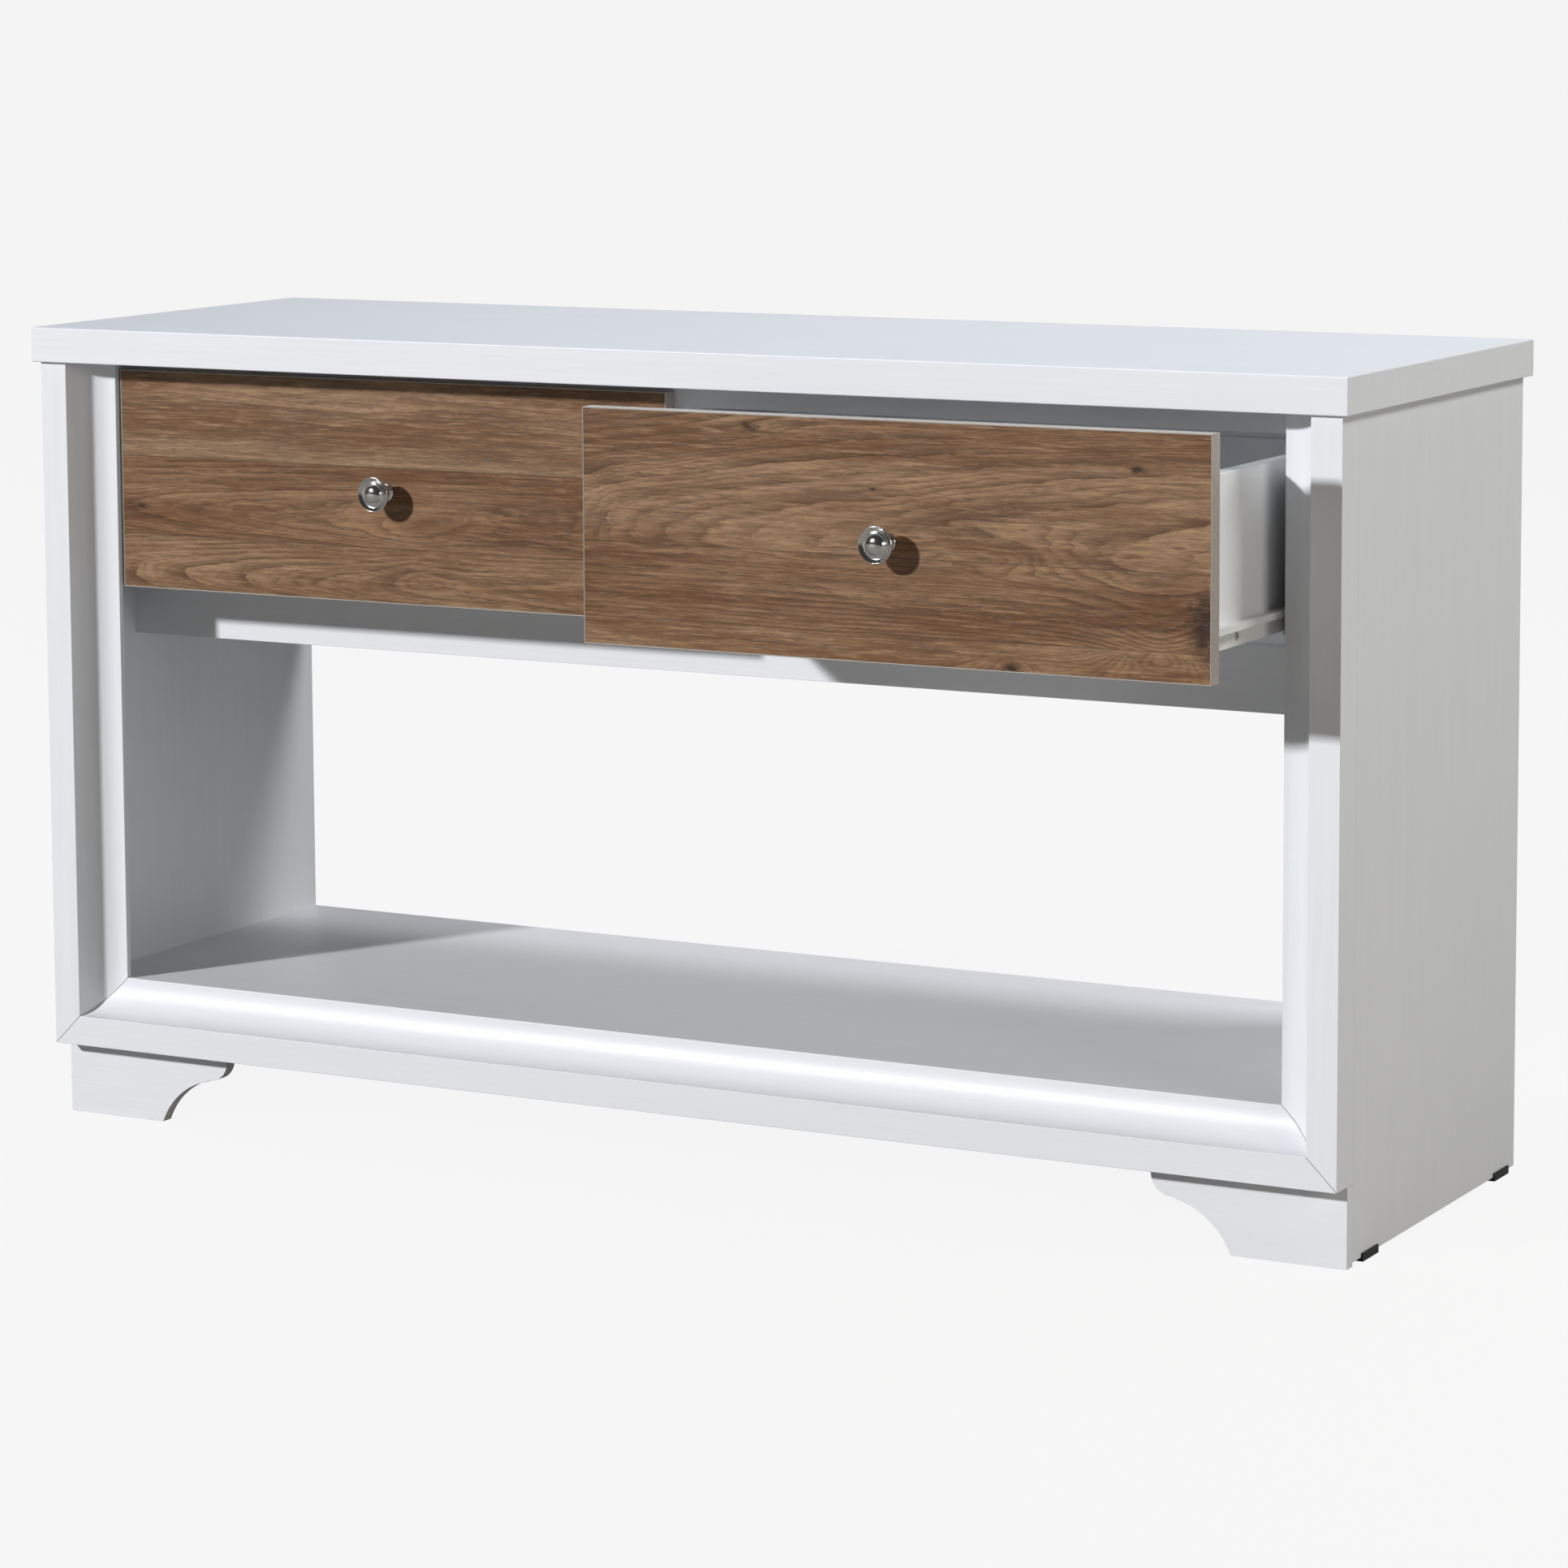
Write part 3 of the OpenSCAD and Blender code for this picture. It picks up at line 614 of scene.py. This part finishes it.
def bare_wood(name, slot, pale, deep):
    """Unfinished softwood or beech, with grain along Z."""
    made, tree, shader, coords = finish(name, slot)
    lay = mapped(tree, coords, turn=ALONG["Z"])
    wood = use(tree, FOIL_GRAIN, Vector=lay, Fineness=260.0, Length=6.0)
    drawn_out = mapped(tree, coords, scale=(1, 1, 0.05))
    wave = put(tree, "TexWave", {"Vector": drawn_out, "Scale": 38.0, "Distortion": 3.0})
    colour = blend(tree, wood["Streaks"], deep, pale)
    colour = blend(tree, times(tree, wave.outputs["Fac"], 0.4), colour, deep)
    tree.links.new(colour, shader.inputs["Base Color"])
    shader.inputs["Roughness"].default_value = 0.7
    relief(tree, shader, wood["Height"], 0.0001)
    return made


def edging(name, slot, pale, deep):
    """Plastic edge band printed with a fine grain."""
    made, tree, shader, coords = finish(name, slot)
    wood = use(tree, FOIL_GRAIN, Vector=coords, Fineness=700.0, Length=14.0)
    worn = use(tree, HANDLING, Vector=coords, Base_Gloss=0.36)
    tree.links.new(blend(tree, wood["Streaks"], deep, pale), shader.inputs["Base Color"])
    tree.links.new(worn["Roughness"], shader.inputs["Roughness"])
    relief(tree, shader, wood["Height"], 0.00003)
    return made


STAVE_SHIFT = 1.7  # moves the pattern from one stave to the next
WHITE = (0.80, 0.818, 0.845, 1)
WHITE_DEEP = (0.765, 0.782, 0.81, 1)
SMOOTH_WHITE = (0.83, 0.84, 0.85, 1), (0.80, 0.81, 0.825, 1)
BOARD_WHITE = (0.80, 0.81, 0.82, 1), (0.76, 0.77, 0.78, 1)
foil_upright = white_foil("white foil, upright grain", "white_laminate", "Z", WHITE, WHITE_DEEP)
foil_long = white_foil("white foil, long grain", "white_laminate", "X", WHITE, WHITE_DEEP)
foil_smooth = white_foil("smooth white foil", "drawer_white", "Y", *SMOOTH_WHITE, 0.00002)
hardboard = white_foil(
    "white hardboard", "white_hardboard", "X", *BOARD_WHITE, 0.00003, 700.0, 0.55
)
walnut_left = walnut(
    "walnut foil, left front",
    [
        (0.469, -0.425, 0.4835, 0.060, 0.0150, 0.02, 1.0, (1.04, 1.03, 1.02)),
        (0.516, -0.430, 0.5410, 0.140, 0.0190, 0.02, 1.0, (0.93, 0.86, 0.82)),
        (0.584, -2.000, 0.6500, 2.000, 0.0250, 0.00, 0.5, (1.05, 1.09, 1.14)),
    ],
    [(-0.243, 0.500, 0.030, 0.020, 1.2), (-0.12, 0.545, 0.12, 0.020, -1.5)],
    [(-0.524, 0.541, 0.010, 0.004), (-0.060, 0.503, 0.005, 0.003)],
)
walnut_right = walnut(
    "walnut foil, right front",
    [
        (0.469, -2.000, 0.4600, 2.000, 0.0200, 0.00, 0.6, (1.14, 1.14, 1.14)),
        (0.492, -2.000, 0.5620, 2.000, 0.0210, 0.00, 1.0, (0.94, 0.89, 0.86)),
        (0.552, 0.016, 0.5610, 0.090, 0.0340, 0.08, 1.0, (1.02, 1.01, 1.01)),
    ],
    [
        (0.22, 0.660, 0.10, 0.020, 2.0),
        (0.36, 0.556, 0.05, 0.010, -1.4),
        (0.502, 0.500, 0.040, 0.026, 5.0),
        (0.378, 0.473, 0.018, 0.012, 2.0),
    ],
    [
        (0.152, 0.648, 0.014, 0.005),
        (0.484, 0.629, 0.012, 0.004),
        (0.378, 0.473, 0.010, 0.006),
        (0.260, 0.604, 0.004, 0.002),
        (0.538, 0.512, 0.016, 0.034),
    ],
)
edge_band = edging(
    "taupe edge band", "taupe_edging", (0.42, 0.38, 0.34, 1), (0.34, 0.305, 0.27, 1)
)
# The last numbers are the gloss, the grain's fineness, its relief, and how metallic it is
plated, enamel, zinc_screws, cast_zinc, nylon, black_plastic = (
    moulded(name, slot, (*pale, 1), (*deep, 1), *texture)
    for name, slot, pale, deep, texture in (
        ("polished nickel plate", "satin_nickel", (0.80, 0.79, 0.77), (0.72, 0.71, 0.69),
         (0.14, 300.0, 0.000004, 1.0)),
        ("runner enamel", "runner_enamel", (0.80, 0.80, 0.78), (0.76, 0.76, 0.74),
         (0.32, 1400.0, 0.00002)),
        ("zinc-plated screws", "screw_steel", (0.70, 0.69, 0.66), (0.58, 0.58, 0.56),
         (0.30, 1800.0, 0.00001, 1.0)),
        ("cast zinc", "zinc", (0.60, 0.61, 0.63), (0.50, 0.51, 0.53),
         (0.42, 1500.0, 0.00003, 1.0)),
        ("white nylon", "nylon", (0.82, 0.82, 0.79), (0.76, 0.76, 0.73),
         (0.42, 1200.0, 0.00001)),
        ("black glide plastic", "black_plastic", (0.022, 0.023, 0.028), (0.014, 0.015, 0.018),
         (0.35, 1600.0, 0.00003)),
    )
)
raw_wood = bare_wood("bare softwood", "raw_wood", (0.62, 0.46, 0.28, 1), (0.48, 0.33, 0.18, 1))
finishes = (
    foil_long, foil_smooth, hardboard, walnut_right, edge_band, plated, enamel, zinc_screws,
    cast_zinc, nylon, black_plastic, raw_wood,
)
slot_finish = {material["slot"]: material for material in finishes}
for part in frame["record"]["subparts"]:
    node = frame["nodes"][part["node"]]
    node.data.materials.clear()
    node.data.materials.append(slot_finish[part["material_slot"]])


# ---------- carcass ----------


def board(node, body, material, eased):
    """A board in place of a frame node, with its edges eased by so many millimetres."""
    piece = block(node + "_board", *corners(node))
    ease_edges(piece, eased * MM)
    fit(piece, body, material, node)


board("top_panel", "cabinet", foil_long, 1.0)
for side in SIDES:
    board("side_panel_" + side, "cabinet", foil_upright, 0.5)
    board("case_side_" + side, "cabinet", foil_upright, 0.3)
for node in ("lower_shelf", "plinth_rail", "front_rail", "rear_rail", "front_stretcher"):
    board(node, "cabinet", foil_long, 0.4)
board("back_panel", "cabinet", hardboard, 0.2)

# The divider is notched round the stretcher
low, high = corners("center_divider")
notch_low, notch_high = corners("front_stretcher")
divider = block("divider", low, (high.x, high.y, notch_low.z))
cut(divider, (0, notch_high.y, 0), (0, 1, 0), drop_beyond=False)
select_faces(divider, lambda centre, normal: normal.z > 0.9 and centre.y > notch_high.y)
line(0, 0, high.z - notch_low.z)
bpy.ops.object.mode_set(mode="OBJECT")
ease_edges(divider, 0.3 * MM)
fit(divider, "cabinet", foil_upright, "center_divider")


# ---------- front frame ----------

FLAT = 26 * MM  # the flat outer part of the moulding
COVE = 28 * MM  # the radius of its hollow
JOINT = 0.15 * MM  # each side's share of the gap at a mitre
CURVE_STEPS = 24
low, high = corners("stile_moulding_left")
deep = high.y - low.y
wide = high.x - low.x
stile = pen("left_stile", (low.x, low.y, low.z))
line(FLAT, 0, 0)
arc((low.x + FLAT + COVE, low.y, 0), (0, 0, 1), 90, CURVE_STEPS)
line(wide - FLAT - COVE, 0, 0)
line(0, deep - COVE, 0)
line(-wide, 0, 0)
line(0, -deep, 0)
close_outline(0, 0, high.z - low.z)
mitre = Vector((1, 0, -1)).normalized()
cut(stile, Vector((low.x, 0, low.z)) - mitre * JOINT, mitre)
right_stile = mirrored(stile, "right_stile")
for piece, side in ((stile, "left"), (right_stile, "right")):
    ease_edges(piece, 0.5 * MM, angle=25)
    fit(piece, "cabinet", foil_upright, "stile_moulding_" + side)

base = pen("base_frame", (low.x, low.y, low.z))
line(0, 0, FLAT)
arc((low.x, low.y, low.z + FLAT + COVE), (1, 0, 0), -90, CURVE_STEPS)
line(0, 0, wide - FLAT - COVE)
line(0, deep - COVE, 0)
line(0, 0, -wide)
line(0, -deep, 0)
close_outline(-2 * low.x, 0, 0)
cut(base, Vector((low.x, 0, low.z)) + mitre * JOINT, -mitre)
right_mitre = Vector((1, 0, 1)).normalized()
cut(base, Vector((-low.x, 0, low.z)) - right_mitre * JOINT, right_mitre)
ease_edges(base, 0.5 * MM, angle=25)
fit(base, "cabinet", foil_long, "base_moulding")


# ---------- feet and glides ----------

# The foot's outline from its outer lower corner: the heel, a scoop up to a small cusp, and
# a quarter round up to its ear under the frame
HEEL = 97.5 * MM
SCOOP_R = 65 * MM
CUSP = 144 * MM, 40.3 * MM
CUSP_H = 0.5 * MM
EAR = 148 * MM, 59.5 * MM
EAR_R = 18 * MM
EAR_STEPS = 16
low, high = corners("bracket_foot_left")
heel = Vector((HEEL, 0))
tip = Vector((CUSP[0], CUSP[1] - CUSP_H))
chord = tip - heel
below = math.sqrt(SCOOP_R**2 - (chord.length / 2) ** 2)
scoop = heel + chord / 2 + Vector((chord.y, -chord.x)).normalized() * below
sweep = (tip - scoop).angle_signed(heel - scoop)
foot = pen("left_foot", low)
line(HEEL, 0, 0)
arc((low.x + scoop.x, 0, scoop.y), (0, 1, 0), -abs(math.degrees(sweep)), CURVE_STEPS)
line(0, 0, CUSP_H)
line(EAR[0] - CUSP[0], 0, EAR[1] - EAR_R - CUSP[1])
arc((low.x + EAR[0], 0, EAR[1]), (0, 1, 0), 90, EAR_STEPS)
line(0, 0, high.z - EAR[1])
line(low.x - high.x, 0, 0)
line(0, 0, -high.z)
close_outline(0, high.y - low.y, 0)
right_foot = mirrored(foot, "right_foot")
for piece, side in ((foot, "left"), (right_foot, "right")):
    ease_edges(piece, 0.4 * MM, angle=35)
    fit(piece, "cabinet", foil_long, "bracket_foot_" + side)

# Black channels clipped over the lower edges of the side panels
LIP = 2 * MM
GLIDE_L = 33 * MM
PAD = 3 * MM
low, high = corners("glides")
panel_low, panel_high = corners("side_panel_right")
panel_t = panel_high.x - panel_low.x
glide = pen("glide_channels", (panel_low.x - LIP, low.y, 0))
line(panel_t + 2 * LIP, 0, 0)
line(0, 0, high.z)
line(-LIP, 0, 0)
line(0, 0, PAD - high.z)
line(-panel_t, 0, 0)
line(0, 0, high.z - PAD)
line(-LIP, 0, 0)
line(0, 0, -high.z)
close_outline(0, GLIDE_L, 0)
ease_edges(glide, 0.5 * MM, 3)
rear_glide = copied(glide, "rear_glide", (0, high.y - low.y - GLIDE_L, 0))
right_pair = joined(glide, rear_glide)
glides = joined(right_pair, mirrored(right_pair, "left_pair"))
fit(glides, "cabinet", black_plastic, "glides")


# ---------- drawers ----------

# Turned profiles in millimetres, as (radius, distance out from the seat)
KNOB = [
    (0, 0), (8, 0), (8, 1.4), (7.6, 2), (5.8, 2.4), (5.1, 4), (4.9, 7), (5.2, 10), (6.6, 13),
    (9.6, 16), (13, 18.2), (14.6, 19.2), (15, 20), (15, 21), (14.8, 21.7), (14.3, 22),
    (13.8, 21.7), (12.6, 20.6), (11.2, 19.9), (10.5, 19.8), (10.2, 20.2), (9.9, 20.9),
    (9.3, 21.1), (8.9, 20.9), (8.6, 21.3), (8, 22.2), (6.6, 23.5), (4.6, 24.4), (2.4, 24.9),
    (0, 25),
]
PAN_HEAD = [
    (0, -1), (3.4, -1), (3.4, 0), (3.4, 0.5), (3.1, 0.9), (2.2, 1.15), (0.9, 1.2), (0.8, 0.5),
    (0, 0.4),
]
KNOB_SCREW_HEAD = [(0, 1), (0.8, 1), (0.9, 0), (3.2, 0.2), (3.9, 0.9), (4, 2.4), (2, 2.4)]
WHEEL = [
    (2.05, 0), (3.4, 0), (3.4, 0.35), (6.6, 0.35), (7.3, 0), (7.8, 0.2), (8, 0.6), (8, 3.4),
    (7.8, 3.8), (7.3, 4), (6.6, 3.65), (3.4, 3.65), (3.4, 4), (2.05, 4), (2.05, 0),
]
WHEEL_W = 4 * MM
PIN_R = 2
PIN_HEAD_R = 3.2

# Runner sections in millimetres: out from the drawer box, and up from its lower edge
DRAWER_RUNNER = [
    (-10, -1.2), (1.2, -1.2), (1.2, 16.8), (8.3, 16.8), (8.3, 12.5), (9.5, 12.5), (9.5, 18),
    (0, 18), (0, 0), (-10, 0),
]
CABINET_RUNNER = [
    (2.2, -4), (12.5, -4), (12.5, 18), (10, 18), (10, 16.8), (11.3, 16.8), (11.3, -2.8),
    (3.4, -2.8), (3.4, 0), (2.2, 0),
]
RUNNER_L = 300 * MM
SCREWS_AT = 52 * MM, 150 * MM, 262 * MM  # from the runner's front end
SMALL_STEPS = 24  # round a screw or pin

# The drawer runner: its steel, the ledge under the box, and its screws, spare holes and pin
STEEL = 1.2 * MM
LEDGE = 10 * MM
DRAWER_SCREW_Z = 6.25 * MM
DRAWER_HOLE_BACK, DRAWER_HOLE_R = 8 * MM, 1.75 * MM
REAR_PIN_Y, REAR_PIN_Z = 290 * MM, 5.5 * MM
REAR_PIN = 1.2, 3.7, 8.1, 8.9

# The cabinet runner: its gap from the box, its drop below it, and the same details
GAP = 2.2 * MM
DROP = 4 * MM
WEB = 11.3 * MM
CABINET_SCREW_Z = 7 * MM
CABINET_HOLE_BACK, CABINET_HOLE_R = 14 * MM, 2.2 * MM
FRONT_PIN_Y, FRONT_PIN_Z = 10 * MM, 8.5 * MM
FRONT_PIN = 2.8, 3.6, 8.0, 11.3


def scaled(profile):
    """A list of pairs in millimetres, in metres."""
    return [(a * MM, b * MM) for a, b in profile]


def rail_section(name, x, out, front, bottom, section):
    """A rolled runner: its section drawn outwards from the box side at x, then pulled back."""
    points = scaled(section)
    piece = pen(name, (x + out * points[0][0], front, bottom + points[0][1]))
    for (u0, v0), (u1, v1) in zip(points, points[1:] + points[:1]):
        line(out * (u1 - u0), 0, v1 - v0)
    close_outline(0, RUNNER_L, 0)
    return piece


def pan_heads(node, x, front, z, out):
    """The heads of a runner's screws, standing out from it at x."""
    profile = scaled(PAN_HEAD)
    return [
        turned(
            "%s_screw_%d" % (node, k), (x, front + back, z), (out, 0, 0), profile, SMALL_STEPS
        )
        for k, back in enumerate(SCREWS_AT)
    ]


def spare_holes(x, front, z, out, depth, radius):
    """Round holes through a runner's web, one behind each screw."""
    return [((x, front + back, z), (out, 0, 0), depth, radius) for back in SCREWS_AT]


def pin(name, place, out, reach):
    """A roller's pin: a round shaft with a flat head at each end."""
    near, neck, tail, far = reach
    profile = [
        (0, near), (PIN_HEAD_R, near), (PIN_HEAD_R, neck), (PIN_R, neck),
        (PIN_R, tail), (PIN_HEAD_R, tail), (PIN_HEAD_R, far), (0, far),
    ]
    return turned(name, place, (out, 0, 0), scaled(profile), SMALL_STEPS)


def drawer_boards(side):
    """The front with its edge band, the box, the bottom and the knob."""
    body = side + "_drawer"
    face = block(side + "_face", *corners(side + "_drawer_front"))
    ease_edges(face, 0.15 * MM)
    fit(face, body, walnut_left if side == "left" else walnut_right, side + "_drawer_front")
    band = block(side + "_band", *corners(side + "_edge_band"))
    select_faces(band, lambda centre, normal: abs(normal.y) > 0.9)
    bpy.ops.mesh.inset(thickness=1 * MM, use_individual=True)
    bpy.ops.mesh.bridge_edge_loops()
    face_outwards()
    ease_edges(band, 0.4 * MM, 3)
    fit(band, body, edge_band, side + "_edge_band")
    for part, eased in (
        ("box_front", 0.4),
        ("box_back", 0.6),
        ("box_side_outer", 1.2),
        ("box_side_inner", 1.2),
    ):
        board(side + "_" + part, body, foil_smooth, eased)
    board(side + "_box_bottom", body, hardboard, 0.2)
    low, high = corners(side + "_knob")
    seat = ((low.x + high.x) / 2, high.y, (low.z + high.z) / 2)
    pull = turned(side + "_pull", seat, (0, -1, 0), scaled(KNOB), steps=40, smooth=2)
    fit(pull, body, plated, side + "_knob")
    low, high = corners(side + "_knob_screw")
    length = (high.y - low.y) / MM
    profile = scaled(KNOB_SCREW_HEAD + [(KNOB_SCREW_HEAD[-1][0], length), (0, length)])
    head = (seat[0], high.y, seat[2])
    screw = turned(side + "_pull_screw", head, (0, -1, 0), profile, SMALL_STEPS)
    fit(screw, body, zinc_screws, side + "_knob_screw")


def drawer_runners(side):
    """The two runners on the drawer box, with their screws and rear pins."""
    body = side + "_drawer"
    heads = []
    for part in ("outer", "inner"):
        node = side + "_runner_" + part
        low, high = corners(node)
        out = SIDES[side] if part == "outer" else -SIDES[side]
        x = low.x + LEDGE if out > 0 else high.x - LEDGE
        bottom = low.z + STEEL
        z = bottom + DRAWER_SCREW_Z
        rail = rail_section(node + "_rail", x, out, low.y, bottom, DRAWER_RUNNER)
        back = low.y + DRAWER_HOLE_BACK
        drill(rail, spare_holes(x - out * MM, back, z, out, 4 * MM, DRAWER_HOLE_R))
        ease_edges(rail, 0.3 * MM)
        axle = (x, low.y + REAR_PIN_Y, bottom + REAR_PIN_Z)
        fit(joined(rail, pin(node + "_pin", axle, out, REAR_PIN)), body, enamel, node)
        heads += pan_heads(node, x + out * STEEL, low.y, z, out)
    fit(joined(*heads), body, zinc_screws, side + "_runner_screws")


def cabinet_runners():
    """The four runners on the carcass, with their screws and front pins."""
    for place, out in (("ll", -1), ("lr", 1), ("rl", -1), ("rr", 1)):
        node = "cabinet_runner_" + place
        low, high = corners(node)
        bottom = low.z + DROP
        x = low.x - GAP if out > 0 else high.x + GAP
        z = bottom + CABINET_SCREW_Z
        rail = rail_section(node + "_rail", x, out, low.y, bottom, CABINET_RUNNER)
        back = low.y + CABINET_HOLE_BACK
        drill(rail, spare_holes(x + out * 9 * MM, back, z, out, 5 * MM, CABINET_HOLE_R))
        ease_edges(rail, 0.3 * MM)
        axle = pin(node + "_pin", (x, low.y + FRONT_PIN_Y, bottom + FRONT_PIN_Z), out, FRONT_PIN)
        heads = pan_heads(node, x + out * WEB, low.y, z, -out)
        fit(joined(rail, axle, *heads), "cabinet", enamel, node)


def rollers(side):
    """Each pair of nylon wheels on one line."""
    for end in ("front", "rear"):
        node = "%s_%s_rollers" % (side, end)
        low, high = corners(node)
        y, z = (low.y + high.y) / 2, (low.z + high.z) / 2
        first = turned(node + "_wheels", (low.x, y, z), (1, 0, 0), scaled(WHEEL))
        second = turned(node + "_other", (high.x - WHEEL_W, y, z), (1, 0, 0), scaled(WHEEL))
        fit(joined(first, second), node, nylon, node)


for side in SIDES:
    drawer_boards(side)
    drawer_runners(side)
    rollers(side)
cabinet_runners()


# ---------- camera, light and floor ----------


def aim(location, yaw, pitch, roll):
    """Turns the camera left by yaw, down by pitch and clockwise by roll, in degrees."""
    yaw, pitch, roll = (math.radians(v) for v in (yaw, pitch, roll))
    level = math.cos(pitch)
    ahead = Vector((-math.sin(yaw) * level, math.cos(yaw) * level, -math.sin(pitch)))
    right = Vector((math.cos(yaw), math.sin(yaw), 0))
    down = ahead.cross(right)
    across = right * math.cos(roll) + down * math.sin(roll)
    below = down * math.cos(roll) - right * math.sin(roll)
    turn = Matrix((across, -below, -ahead)).transposed().to_4x4()
    return Matrix.Translation(location) @ turn


lens = bpy.data.cameras.new("camera")
camera = bpy.data.objects.new("camera", lens)
bpy.context.scene.collection.objects.link(camera)
lens.sensor_width = 36
lens.lens = 117.656
lens.shift_y = -0.14
lens.clip_start, lens.clip_end = 0.1, 400
camera.matrix_world = aim((2.0553, -3.7237, 1.0231), 28.271, 6.942, 0.301)
bpy.context.scene.camera = camera
LIT = Vector((0, 0, 0.4))  # the middle of the table, where every lamp points


def lamp(name, azimuth, height, far, size, watts, colour):
    """A square area lamp, aimed at the table's middle.

    It stands at an angle round from the front towards the right, and at a height in degrees.
    """
    data = bpy.data.lights.new(name, "AREA")
    data.shape = "SQUARE"
    data.size, data.energy, data.color = size, watts, colour
    made = bpy.data.objects.new(name, data)
    bpy.context.scene.collection.objects.link(made)
    a, e = math.radians(azimuth), math.radians(height)
    back = Vector((math.sin(a) * math.cos(e), -math.cos(a) * math.cos(e), math.sin(e)))
    made.location = LIT + back * far
    made.rotation_euler = back.to_track_quat("Z", "Y").to_euler()


lamp("key lamp", -30, 22.5, 14.0, 0.8, 1860, (0.98, 0.987, 1))
lamp("front right fill lamp", 68, 12, 4.0, 1.0, 26, (1, 0.965, 0.92))
lamp("rear right fill lamp", 112, 42, 4.0, 1.0, 74, (1, 0.985, 0.96))
lamp("back fill lamp", 200, 35, 5.0, 3.0, 20, (1, 0.99, 0.97))
lamp("overhead lamp", 180, 80, 3.0, 1.6, 26, (0.70, 0.87, 1))

# The camera sees an even pale backdrop and floor; the table sees a faint warm light
BACKDROP = (0.93, 0.93, 0.93, 1)
world = bpy.data.worlds.new("studio")
world.use_nodes = True
tree = world.node_tree
soft = tree.nodes["Background"]
soft.inputs["Color"].default_value = (1, 0.955, 0.90, 1)
soft.inputs["Strength"].default_value = 0.045
seen = put(tree, "LightPath").outputs["Is Camera Ray"]
pale = put(tree, "Background", {"Color": BACKDROP, "Strength": 1.0})
mix = put(tree, "MixShader", {0: seen, 1: soft.outputs[0], 2: pale.outputs[0]})
tree.links.new(mix.outputs[0], tree.nodes["World Output"].inputs["Surface"])
bpy.context.scene.world = world

deselect()
bpy.ops.mesh.primitive_plane_add(size=400, location=(0, 0, 0))
floor = bpy.context.object
floor.name = "floor"
paint, tree, shader, coords = finish("pale floor", "")
shader.inputs["Base Color"].default_value = (0.27, 0.255, 0.235, 1)
shader.inputs["Roughness"].default_value = 0.9
glow = put(tree, "Emission", {"Color": BACKDROP, "Strength": 1.1})
seen = put(tree, "LightPath").outputs["Is Camera Ray"]
share = times(tree, seen, 0.88)
mix = put(tree, "MixShader", {0: share, 1: shader.outputs[0], 2: glow.outputs[0]})
tree.links.new(mix.outputs[0], tree.nodes["Material Output"].inputs["Surface"])
floor.data.materials.append(paint)
bpy.context.scene.view_settings.view_transform = "Standard"
